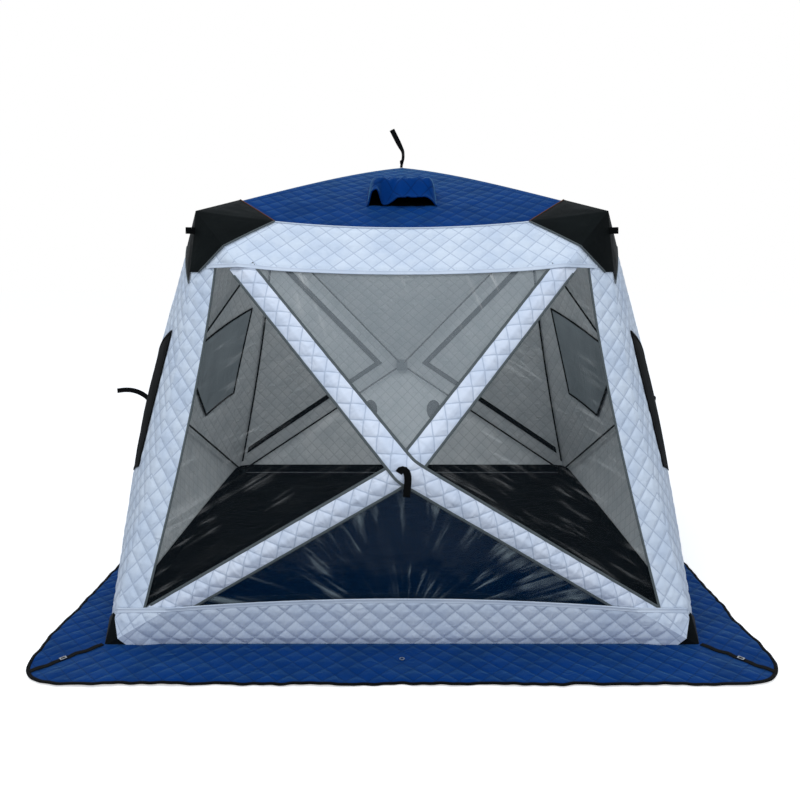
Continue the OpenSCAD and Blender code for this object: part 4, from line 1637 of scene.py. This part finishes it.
@dataclass
class CornerPockets:
    """Black cloth pockets over the pole ends: one at each eave corner and one at each foot."""

    works: Works
    layer: float = -0.006
    hem_z: float = 1.441

    def part(self, wall: int, face: Face, place: int, seed: int, above: float | None) -> tuple[Surface, Array, Array]:
        """A pocket's share of one face.

        Args:
            wall: quarter turns from the front wall.
            face: the face.
            place: which of the face's pockets.
            seed: fixes its creases.
            above: lowest height above the ground, where a hem cuts it short.

        Returns:
            The surface, its outline, and the open edge's two ends on the flat face.
        """
        outline = pocket(face, place)
        ends = outline[1:]
        if above:
            height = SHELL.plane(face).height()
            outline = trimmed(outline, height, above)
            line = ends[0] + (ends[1] - ends[0]) * np.linspace(0, 1, 400)[:, None]
            line = line[value_at(height, line) >= above]
            ends = np.array([line[0], line[-1]])
        relief = Ripple(seed, 0.16, 0.0025, lift=0.0025, fade=0.04)
        return cloth(wall, face, outline, self.layer, relief), outline, ends

    def cover(self, name: str, node: str, shares: Sequence[tuple[int, Face, int]], seed: int) -> list[Array]:
        """Builds one pocket from its shares of the faces round a corner, and gives the ends of its open edges."""
        short = ((0, Face.LEFT), (0, Face.RIGHT)) if node == "corner_pockets" else ()
        hemmed = [self.hem_z if share[:2] in short else None for share in shares]
        parts = [self.part(*share, seed + i, above) for i, (share, above) in enumerate(zip(shares, hemmed))]
        area = sum(area_of(outline) for _, outline, _ in parts)
        side = math.sqrt(area / 0.8)
        piece = Surface.joined([surface for surface, _, _ in parts]).piece(name)
        self.works.take(piece, BLACK_CLOTH, "black_fabric", [node], (side, side), area)
        return [ends for _, _, ends in parts]

    def eave_pocket(self, k: int, n: int) -> None:
        """The pocket over the eave corner between wall k and wall n, with a hem on the walls and a cord on the roof."""
        walls = [(k, Face.HIGH, 0), (k, Face.RIGHT, 0), (n, Face.LEFT, 0), (n, Face.HIGH, 1)]
        shares = walls + [(k, Face.ROOF, 1), (n, Face.ROOF, 0)]
        name = f"eave_pocket_{SIDES[k]}_{SIDES[n]}"
        edges = self.cover(name, "corner_pockets", shares, Seed.EAVE_POCKET + 10 * k)
        profiles = [oval(0.009, 0.005)] * 4 + [oval(0.005, 0.005)] * 2
        lines = [corded(s[0], s[1], ends, self.layer, p) for s, ends, p in zip(shares, edges, profiles)]
        self.works.take(Surface.joined(lines[:4]).piece(name + "_hem"), GREY_BINDING, "zip_tape")
        self.works.take(Surface.joined(lines[4:]).piece(name + "_cord"), RUST_PIPING, "webbing")

    def foot_pocket(self, k: int, n: int) -> None:
        """The pocket over the foot between wall k and wall n."""
        shares = [(k, Face.LOW, 1), (k, Face.RIGHT, 1), (n, Face.LEFT, 1), (n, Face.LOW, 0)]
        self.cover(f"foot_pocket_{SIDES[k]}_{SIDES[n]}", "foot_pockets", shares, Seed.FOOT_POCKET + 10 * k)

    def build(self) -> None:
        """Builds and dresses all eight pockets."""
        for k in range(4):
            self.eave_pocket(k, (k + 1) % 4)
            self.foot_pocket(k, (k + 1) % 4)


@dataclass
class GroundSkirt:
    """The skirt that lies round the hut, its bound edge and corner tapes, and the ground cloth inside."""

    works: Works
    inner: float = 1.1512
    across: float = 1.380
    along: float = 1.425
    radius: float = 0.170
    stake: float = 1.265
    binding: float = 0.014
    tape: float = 0.024
    upturn: float = 0.050
    lies: float = 0.0042
    wave: float = 0.007
    edge_wave: float = 0.014

    def tip(self) -> float:
        """The x of the place where a line at 45 degrees from the inner corner meets the rounded outer corner."""
        u, v = self.across - self.radius, self.along - self.radius
        return (u + v + math.sqrt(2 * self.radius**2 - (u - v) ** 2)) / 2

    def rim(self, wall: int, t: Array) -> Array:
        """The outer edge of one side: straight, then round to the corner tape.

        Args:
            wall: quarter turns from the front side.
            t: from -1 to 1 along the side.

        Returns:
            Places in plan, turned to the front side.
        """
        wide, deep = (self.across, self.along) if wall % 2 == 0 else (self.along, self.across)
        x, y, r = wide - self.radius, deep - self.radius, self.radius
        whole = math.atan2(self.tip() - x, self.tip() - y)
        gone = np.abs(t) * (x + r * whole)
        bend = np.clip((gone - x) / r, 0, whole)
        return np.stack([np.sign(t) * (np.minimum(gone, x) + r * np.sin(bend)), -y - r * np.cos(bend)], -1)

    def spread(self, wall: int, t: Array, b: Array) -> Array:
        """Points of one side of the skirt, turned to the front side.

        Each runs from the wall's foot, at b = 0, to the outer edge, at b = 1. The cloth lies 4 mm up and lifts in slow
        waves towards its edge, but stays flat round the eyelet in the middle and along the corner tapes.

        Args:
            wall: quarter turns from the front side.
            t: from -1 to 1 along the side.
            b: from 0 to 1 outwards.

        Returns:
            Points of shape (len(b), len(t), 3).
        """
        start = np.stack([t * self.inner, np.full(len(t), -self.inner)], -1)
        flat = (start + (self.rim(wall, t) - start) * b[:, None, None]).reshape(-1, 2)
        diagonal = (np.abs(flat[:, 1]) - np.abs(flat[:, 0])) / math.sqrt(2)
        held = ease(np.hypot(flat[:, 0], flat[:, 1] + self.stake), 0.03, 0.12) * ease(diagonal, 0.012, 0.08)
        far = np.repeat(b, len(t))
        wave = self.wave * crumple(flat, Seed.SKIRT + wall, 0.55) * ease(far, 0.1, 0.9) * held
        inset = np.minimum(far, 1 - far) * 0.25 + 0.001
        pad = Quilting(puff=0.0036, waves=0.0).height(flat, inset, Seed.SKIRT_PADDING) * held
        edge = self.edge_wave * crumple(flat, Seed.SKIRT_EDGE + wall, 0.34) * ease(far, 0.5, 1.0) * held
        z = self.lies + np.maximum(wave + 0.003 * held * far, -0.002) + pad
        return np.stack([flat[:, 0], flat[:, 1] - edge, z], -1).reshape(len(b), len(t), 3)

    def cloth_ring(self) -> tuple[Surface, Array]:
        """The whole skirt as one welded ring, and its outer edge."""
        n = int(self.along / STEP)
        t, b = np.linspace(-1, 1, 2 * n + 1), np.linspace(0, 1, 28)
        sides, edges = [], []
        for k in range(4):
            grid = self.spread(k, t, b)
            points = grid.reshape(-1, 3)
            sides.append(Surface(turned(points, k), grid_faces(len(b), len(t)), points[:, :2]))
            edges.append(turned(grid[-1, :-1], k))
        return Surface.joined(sides), np.vstack(edges)

    def add_tapes(self) -> None:
        """A wavy webbing tape along each corner seam, under the metal ring."""
        made = []
        start, end = math.sqrt(2) * self.inner + 0.012, math.sqrt(2) * self.tip() - 0.002
        s = np.linspace(start, end, 60)
        free = ease(np.abs(s - math.sqrt(2) * self.stake), 0.02, 0.05)
        ends = ease(s, start, start + 0.05) * ease(-s, -end, -end + 0.05)
        z = 0.0062 + 0.0022 * free * np.sin((s - start) * 47) ** 2
        for k in range(4):
            side = 0.0045 * np.sin((s - start) * 38 + k) * free * ends
            path = np.stack([(s - side) / math.sqrt(2), -(s + side) / math.sqrt(2), z], 1)
            made.append(swept(turned(path, k), UPWARDS, oval(self.tape, 0.0022, 12, 0.5)))
        self.works.take(Surface.joined(made).piece("skirt_corner_tapes"), BLACK_WEBBING, "webbing", ["skirt_straps"])

    def add_ground_cloth(self) -> None:
        """The wrinkled ground cloth, whose edge turns up the inside of the walls."""
        half = SHELL.foot - 0.008
        s = np.linspace(-half, half, 116)
        uv = np.stack(np.meshgrid(s, s), -1).reshape(-1, 2)
        z = Ripple(Seed.GROUND_CLOTH, 0.5, 0.006, rest=0.0035, one_way=True)(uv, half - np.abs(uv).max(1))
        laid = Surface(np.column_stack([uv, z]), grid_faces(len(s), len(s)), uv).piece("ground_cloth")
        self.works.take(laid, GROUND_CLOTH, "floor_fabric", ["floor"], (2 * half, 2 * half), held="laid")
        outlines = [(f, SHELL.region(f, below=self.upturn)) for f in (Face.LEFT, Face.LOW, Face.RIGHT)]
        bands = [cloth(k, f, o, 0.020, None, STEP * 2) for k in range(4) for f, o in outlines]
        sheet = {"cut": (8 * half, self.upturn * 1.1), "area": 4 * sum(area_of(o) for _, o in outlines)}
        edge = Surface.joined(bands).inside_out().piece("ground_cloth_edge")
        self.works.take(edge, GROUND_CLOTH, "floor_fabric", **sheet)

    def build(self) -> None:
        """Builds and dresses the skirt and the ground cloth."""
        ring, edge = self.cloth_ring()
        area = 4 * self.across * self.along - (2 * self.inner) ** 2 - (4 - math.pi) * self.radius**2
        sheet = {"cut": (2 * self.across, 2 * self.along), "area": area, "held": "laid"}
        self.works.take(ring.piece("ground_skirt"), BLUE_QUILT, "blue_quilt", ["skirt"], **sheet)
        bound = swept(edge, UPWARDS, oval(self.binding, 0.006, 10, 0.7), closed=True)
        self.works.take(bound.piece("skirt_binding"), BLACK_WEBBING, "webbing")
        self.add_tapes()
        self.add_ground_cloth()


@dataclass
class VentHood:
    """The hooded vent in the front slope: a quilted flap, propped open and pinched down once, over black mesh."""

    works: Works
    half: float = 0.158
    start: float = 0.205
    length: float = 0.250
    rise: float = 0.100
    ridge: tuple[float, float] = (0.34, 0.40)

    def spot(self, uv: Array, proud: Array | float) -> Array:
        """Points over the front slope, at distances across it and up it from the vent's lower edge."""
        slope = np.linalg.norm([SHELL.eave, SHELL.peak_z - SHELL.eave_z])
        return SHELL.place(0, Face.ROOF, uv + np.array([0.0, self.start - slope]), 0.0, proud, square=True)

    def flap(self) -> tuple[Surface, Array]:
        """The flap and its open lip.

        With x from -1 to 1 across and y from 0 at the lip to 1 at the top seam, the height is
        lip(x)·(1 - e(y))·(1 - |x|^12) + rise·e(y)·(1 - f(y))·(1 - |x|^14), where e and f step smoothly from 0 to 1
        before and behind the ridge. The lip makes a tall narrow mouth and a low wide one, and two creases cross on the
        front.

        Returns:
            The surface and the lip's points.
        """
        rows, columns = 45, 73
        x, y = np.meshgrid(np.linspace(-1, 1, columns), np.linspace(0, 1, rows))

        def bump(way: Array, wide: float, power: int) -> Array:
            """1 where the way is 0, and falling away on both sides."""
            return np.exp(-((way / wide) ** power))

        lip = 0.010 + np.maximum(0.074 * bump(x + 0.79, 0.17, 4), 0.036 * bump(x - 0.32, 0.62, 6))
        creases = 1 - 0.10 * bump(x + 0.44 - 0.9 * y, 0.07, 2) - 0.08 * bump(x + 0.12 + 0.7 * y, 0.07, 2)
        front = ease(y, 0.0, self.ridge[0])
        hump = front * (1 - ease(y, self.ridge[1], 1.0)) * (1 - np.abs(x) ** 14)
        height = lip * (1 - front) * (1 - np.abs(x) ** 12) + self.rise * hump * creases
        uv = np.stack([x * self.half, y * self.length], -1).reshape(-1, 2)
        edge = np.minimum((1 - np.abs(x)) * self.half, (1 - y) * self.length).reshape(-1)
        pad = Quilting(puff=0.002, waves=0.0).height(uv, edge, Seed.HOOD_PADDING)
        pad = pad + 0.0055 * crumple(uv, Seed.HOOD, 0.09) * ease(edge, 0, 0.05)
        points = self.spot(uv, height.reshape(-1) + 0.003 + pad)
        return Surface(points, grid_faces(rows, columns)[:, ::-1], uv), points[:columns]

    def build(self) -> None:
        """Builds and dresses the flap, its hem, the seam round it and the mesh below."""
        flap, lip = self.flap()
        cut = (2 * self.half + 0.06, self.length + 0.03)
        self.works.take(flap.piece("vent_flap"), BLUE_QUILT, "blue_quilt", ["vent_hood"], cut)
        out = SHELL.outward(0, Face.ROOF)
        self.works.take(swept(lip, out, oval(0.007, 0.007)).piece("vent_lip"), BLUE_HEM, "blue_quilt")
        a, b = np.linspace(-1, 1, 24) * (self.half - 0.004), np.linspace(0.02, 0.97, 20) * self.length
        uv = np.stack(np.meshgrid(a, b), -1).reshape(-1, 2)
        net = Surface(self.spot(uv, 0.0050), grid_faces(len(b), len(a))[:, ::-1], uv).piece("vent_net")
        self.works.take(net, VENT_MESH, "mesh", ["vent_mesh"], (2 * self.half, self.length))
        x, y = 1.01 * self.half, 1.01 * self.length
        rim = np.array([(-x, 0.0), (x, 0.0), (x, y), (-x, y)])
        path = np.vstack([np.linspace(p, q, 24)[:-1] for p, q in zip(rim, np.roll(rim, -1, 0))])
        ring = swept(self.spot(path, 0.0015), out, oval(0.008, 0.003), closed=True)
        self.works.take(ring.piece("vent_seam"), BLUE_HEM, "blue_quilt")


@dataclass
class Webbing:
    """Straps sewn to the hubs for pulling the walls out, loops for guy lines, and the cords inside the corners."""

    works: Works
    wide: float = 0.025
    thick: float = 0.0022
    loop: float = 0.052

    def ribbon(self, points: Sequence[Sequence[float]], outward: Sequence[Any], wide: float | None = None) -> Surface:
        """A flat strap along a smooth curve through the points, facing one way or turning from one way to the next."""
        path = smooth_path(points)
        ways = np.atleast_2d(np.asarray(outward, float))
        at = np.linspace(0, 1, len(path))
        out = np.stack([np.interp(at, np.linspace(0, 1, len(ways)), way) for way in ways.T], 1)
        return swept(path, unit(out), oval(wide or self.wide, self.thick, 12, 0.5))

    def folded(self) -> Surface:
        """The strap on the front hub, which comes out beside it, folds over and hangs down."""
        points = [
            (-0.012, -0.016, 0.736),
            (-0.004, -0.026, 0.748),
            (0.009, -0.031, 0.750),
            (0.0185, -0.031, 0.737),
            (0.021, -0.028, 0.715),
            (0.019, -0.024, 0.685),
            (0.016, -0.021, 0.651),
        ]
        return self.ribbon([(x, y - SHELL.hub_out, z) for x, y, z in points], (0, -1, 0.1), 0.026)

    def hanging(self) -> Surface:
        """The strap on the right and back hubs, which hangs flat against the wall."""
        heights = (0.752, 0.735, 0.700, 0.655, 0.605)
        lean = (SHELL.hub_out - SHELL.foot) / SHELL.hub_z
        points = [(0.002 * i, -SHELL.foot - lean * min(z, SHELL.hub_z) - 0.011, z) for i, z in enumerate(heights)]
        return self.ribbon(points, (0, -1, 0.25))

    def reaching(self) -> Surface:
        """The strap on the left hub, which stands out stiffly and curves over."""
        out = (0.004, -0.010, -0.030, -0.062, -0.100, -0.140, -0.184)
        heights = (0.716, 0.733, 0.753, 0.772, 0.784, 0.787, 0.782)
        ways = [(0.3, 0.0, 1.0), (1.0, 0.0, 0.5), (1.0, 0.0, 0.2), (1.0, 0.0, 0.1)]
        return self.ribbon([(0, y - SHELL.hub_out, z) for y, z in zip(out, heights)], ways)

    def crowning(self) -> Surface:
        """The strap on the roof's peak, which stands up and leans to the left, knotted near its foot."""
        points = [
            (-0.004, -0.006, 0.0),
            (-0.001, -0.010, 0.022),
            (0.006, -0.012, 0.052),
            (0.004, -0.012, 0.086),
            (-0.008, -0.010, 0.112),
            (-0.032, -0.010, 0.160),
            (-0.055, -0.010, 0.206),
        ]
        ways = [(0.9, -0.5, 0.0), (0.9, -0.6, 0.0), (0.2, -1.0, 0.0), (0.0, -1.0, 0.0)]
        return self.ribbon([(x, y, z + SHELL.peak_z) for x, y, z in points], ways, 0.028)

    def knot(self) -> Surface:
        """A few turns of the peak strap wound round its foot."""
        turns, radius, climb = 2.3, 0.0085, 0.018
        t = np.linspace(0, 1, 70)
        turn = t * 2 * math.pi * turns
        x, y = -0.002 + radius * np.cos(turn), -0.011 + 0.7 * radius * np.sin(turn)
        path = np.stack([x, y, SHELL.peak_z + 0.022 + climb * t], 1)
        return swept(path, np.stack([np.cos(turn), np.sin(turn), 0 * t], 1), oval(0.008, 0.002, 8, 0.6))

    def guy_loop(self, wall: int) -> Surface:
        """A folded loop on the corner, standing straight out along the diagonal."""
        top, low = SHELL.corner("eave_right"), SHELL.corner("foot_right")
        here = top + (low - top) * 0.047 + np.array([-0.0135, 0.0135, 0])
        away, across = unit(np.array([1.0, -1.0, 0.0])), unit(np.array([1.0, 1.0, 0.0]))
        side = [(0.0, 0.0022), (0.03, 0.0028), (0.7, 0.0036), (0.97, 0.0030)]
        shape = side + [(1.0, 0.0)] + [(a, -b) for a, b in reversed(side)]
        path = smooth_path([here + away * a * self.loop + across * b for a, b in shape], 0.003)
        out = np.cross(unit(np.gradient(path, axis=0)), UPWARDS[0])
        return swept(turned(path, wall), turned(out, wall), oval(0.028, 0.0018, 10, 0.5))

    def corner_cord(self, wall: int) -> Surface:
        """The cord down the inside of a corner, with a tie hanging from it."""
        foot, eave, _ = SHELL.plane(Face.RIGHT).outline
        path = SHELL.line(wall, Face.RIGHT, eave + (foot - eave) * 0.03, foot + (eave - foot) * 0.05, 0.020)
        inward = turned(np.array([[-1.0, 1.0, 0.0]]) / math.sqrt(2), wall)
        side = turned(np.array([[1.0, 1.0, 0.0]]) / math.sqrt(2), wall)
        seam = swept(path, inward, oval(0.013, 0.008))
        at = path[int(len(path) * 0.22)]
        places = [(0.0, 0.0, 0.0), (0.012, 0.010, 0.004), (0.016, 0.026, 0.030), (0.014, 0.030, 0.075)]
        tie = [at + inward[0] * a + side[0] * b - UPWARDS[0] * c for a, b, c in places]
        return Surface.joined([seam, swept(smooth_path(tie), side, oval(0.012, 0.002, 8, 0.5))])

    def build(self) -> None:
        """Builds and dresses every strap, loop and cord."""
        for k, strap in enumerate((self.folded(), self.hanging(), self.hanging(), self.reaching())):
            piece = Surface(turned(strap.points, k), strap.faces, strap.flat).piece(f"{SIDES[k]}_pull_strap")
            self.works.take(piece, BLACK_WEBBING, "webbing", ["pull_straps"])
        peak = Surface.joined([self.crowning(), self.knot()]).piece("peak_pull_strap")
        self.works.take(peak, BLACK_WEBBING, "webbing", ["pull_straps"])
        loops = Surface.joined([self.guy_loop(k) for k in range(4)]).piece("guy_loops")
        self.works.take(loops, BLACK_WEBBING, "webbing", ["corner_loops"])
        cords = Surface.joined([self.corner_cord(k) for k in range(4)]).piece("corner_cords")
        self.works.take(cords, BLACK_WEBBING, "webbing")


KEPT = {
    "hubs": HUB_NYLON,
    "eave_knuckles": FITTING_NYLON,
    "foot_cups": FITTING_NYLON,
    "front_poles": POLE_ROD,
    "right_poles": POLE_ROD,
    "back_poles": POLE_ROD,
    "left_poles": POLE_ROD,
    "roof_poles": POLE_ROD,
    "grommets": PLATED,
    "corner_rings": PLATED,
}


@dataclass
class Hardware:
    """Poles, hubs, fittings, eyelets and rings, whose CAD shapes stay."""

    works: Works

    def build(self) -> None:
        """Dresses the CAD nodes."""
        for node, finish in KEPT.items():
            self.works.keep(node, finish)


# ---- studio


@dataclass
class Studio:
    """A pale floor, a white surround, soft lamps outside and inside, and the camera."""

    eye: tuple[float, float, float] = (0.0, -3.991, 1.492)
    lens: float = 32.87
    shift: tuple[float, float] = (-0.0025, -0.174)
    sky: float = 0.77
    ground: float = 0.34

    def camera(self) -> None:
        """A level camera in front of the clear wall."""
        data = bpy.data.cameras.new("camera")
        data.lens, data.sensor_width = self.lens, 36.0
        data.shift_x, data.shift_y = self.shift
        data.clip_end = 200
        seen = bpy.data.objects.new("camera", data)
        seen.location, seen.rotation_euler = self.eye, (math.radians(90), 0, 0)
        bpy.context.scene.collection.objects.link(seen)
        bpy.context.scene.camera = seen

    def surround(self) -> None:
        """White where it is seen, and elsewhere a soft sky that darkens towards the ground."""
        world = bpy.data.worlds.new("surround")
        bpy.context.scene.world = world
        world.use_nodes = True
        tree = world.node_tree
        tree.nodes.clear()
        ray = add(tree, "ShaderNodeLightPath").outputs
        seen = sums(tree, "MAXIMUM", ray["Is Camera Ray"], ray["Is Transmission Ray"])
        way = add(tree, "ShaderNodeTexCoord").outputs["Generated"]
        up = add(tree, "ShaderNodeSeparateXYZ", {0: way}).outputs[2]
        glow = ramped(tree, up, -0.30, 0.45, self.ground, self.sky)
        soft = add(tree, "ShaderNodeBackground", {"Color": linear("#EEF3FA"), "Strength": glow}).outputs[0]
        white = add(tree, "ShaderNodeBackground", {"Color": (1, 1, 1, 1), "Strength": 1.0}).outputs[0]
        both = add(tree, "ShaderNodeMixShader", {0: seen, 1: soft, 2: white}).outputs[0]
        tree.links.new(both, add(tree, "ShaderNodeOutputWorld").inputs["Surface"])

    def floor(self) -> None:
        """A wide floor, near white where it is seen and darker to the light that it throws back up."""
        mesh = bpy.data.meshes.new("floor")
        mesh.from_pydata([(-30, -30, 0), (30, -30, 0), (30, 30, 0), (-30, 30, 0)], [], [(0, 1, 2, 3)])
        made = bpy.data.materials.new("studio_floor")
        made.use_nodes = True
        tree = made.node_tree
        tree.nodes.clear()
        ray = add(tree, "ShaderNodeLightPath").outputs
        matt = add(tree, "ShaderNodeBsdfDiffuse", {"Color": linear("#F2F3F4")}).outputs[0]
        glow = add(tree, "ShaderNodeEmission", {"Color": (1, 1, 1, 1), "Strength": 0.42}).outputs[0]
        lit = add(tree, "ShaderNodeAddShader", {0: matt, 1: glow}).outputs[0]
        dim = add(tree, "ShaderNodeBsdfDiffuse", {"Color": linear("#9A9DA0")}).outputs[0]
        out = add(tree, "ShaderNodeMixShader", {0: ray["Is Camera Ray"], 1: dim, 2: lit}).outputs[0]
        tree.links.new(out, add(tree, "ShaderNodeOutputMaterial").inputs["Surface"])
        mesh.materials.append(made)
        floor = bpy.data.objects.new("studio_floor", mesh)
        bpy.context.scene.collection.objects.link(floor)

    def lamp(self, name: str, place: Sequence[float], aim: Sequence[float], size: float, power: float) -> None:
        """A square soft lamp that faces a point and isn't seen itself."""
        data = bpy.data.lights.new(name, "AREA")
        data.size, data.energy = size, power
        lamp = bpy.data.objects.new(name, data)
        lamp.visible_camera = lamp.visible_glossy = False
        lamp.location = place
        way = Vector(aim) - Vector(place)
        lamp.rotation_euler = way.to_track_quat("-Z", "Y").to_euler()
        bpy.context.scene.collection.objects.link(lamp)

    def build(self) -> None:
        """Sets up the studio."""
        scene = bpy.context.scene
        scene.view_settings.view_transform = "Standard"
        self.camera()
        self.surround()
        self.floor()
        self.lamp("overhead_lamp", (-1.5, -3.0, 6.0), (0, 0, 1.0), 4.0, 95)
        self.lamp("front_lamp", (0.8, -6.5, 2.6), (0, -1, 0.7), 3.0, 100)
        self.lamp("inside_lamp", (0, 0.1, 1.74), (0, 0.1, 0), 1.2, 8)


def main() -> None:
    """Builds the hut and the studio."""
    logging.basicConfig(level=logging.INFO, format="%(message)s")
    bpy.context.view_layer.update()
    Studio().build()
    works = Works()
    back = ["back_top_panel", "back_bottom_panel", "back_left_door", "back_right_door"]
    for assembly in (
        Roof(works),
        QuiltedWall(works, 1, ["right_plain_panels", "right_window_panels"]),
        QuiltedWall(works, 2, back, windows=False, vents=True),
        QuiltedWall(works, 3, ["left_plain_panels", "left_window_panels"]),
        ClearFront(works),
        CornerPockets(works),
        GroundSkirt(works),
        VentHood(works),
        Webbing(works),
        Hardware(works),
    ):
        assembly.build()
        log.info("%s done, %d faces so far", type(assembly).__name__, works.count)


if __name__ == "__main__":
    main()
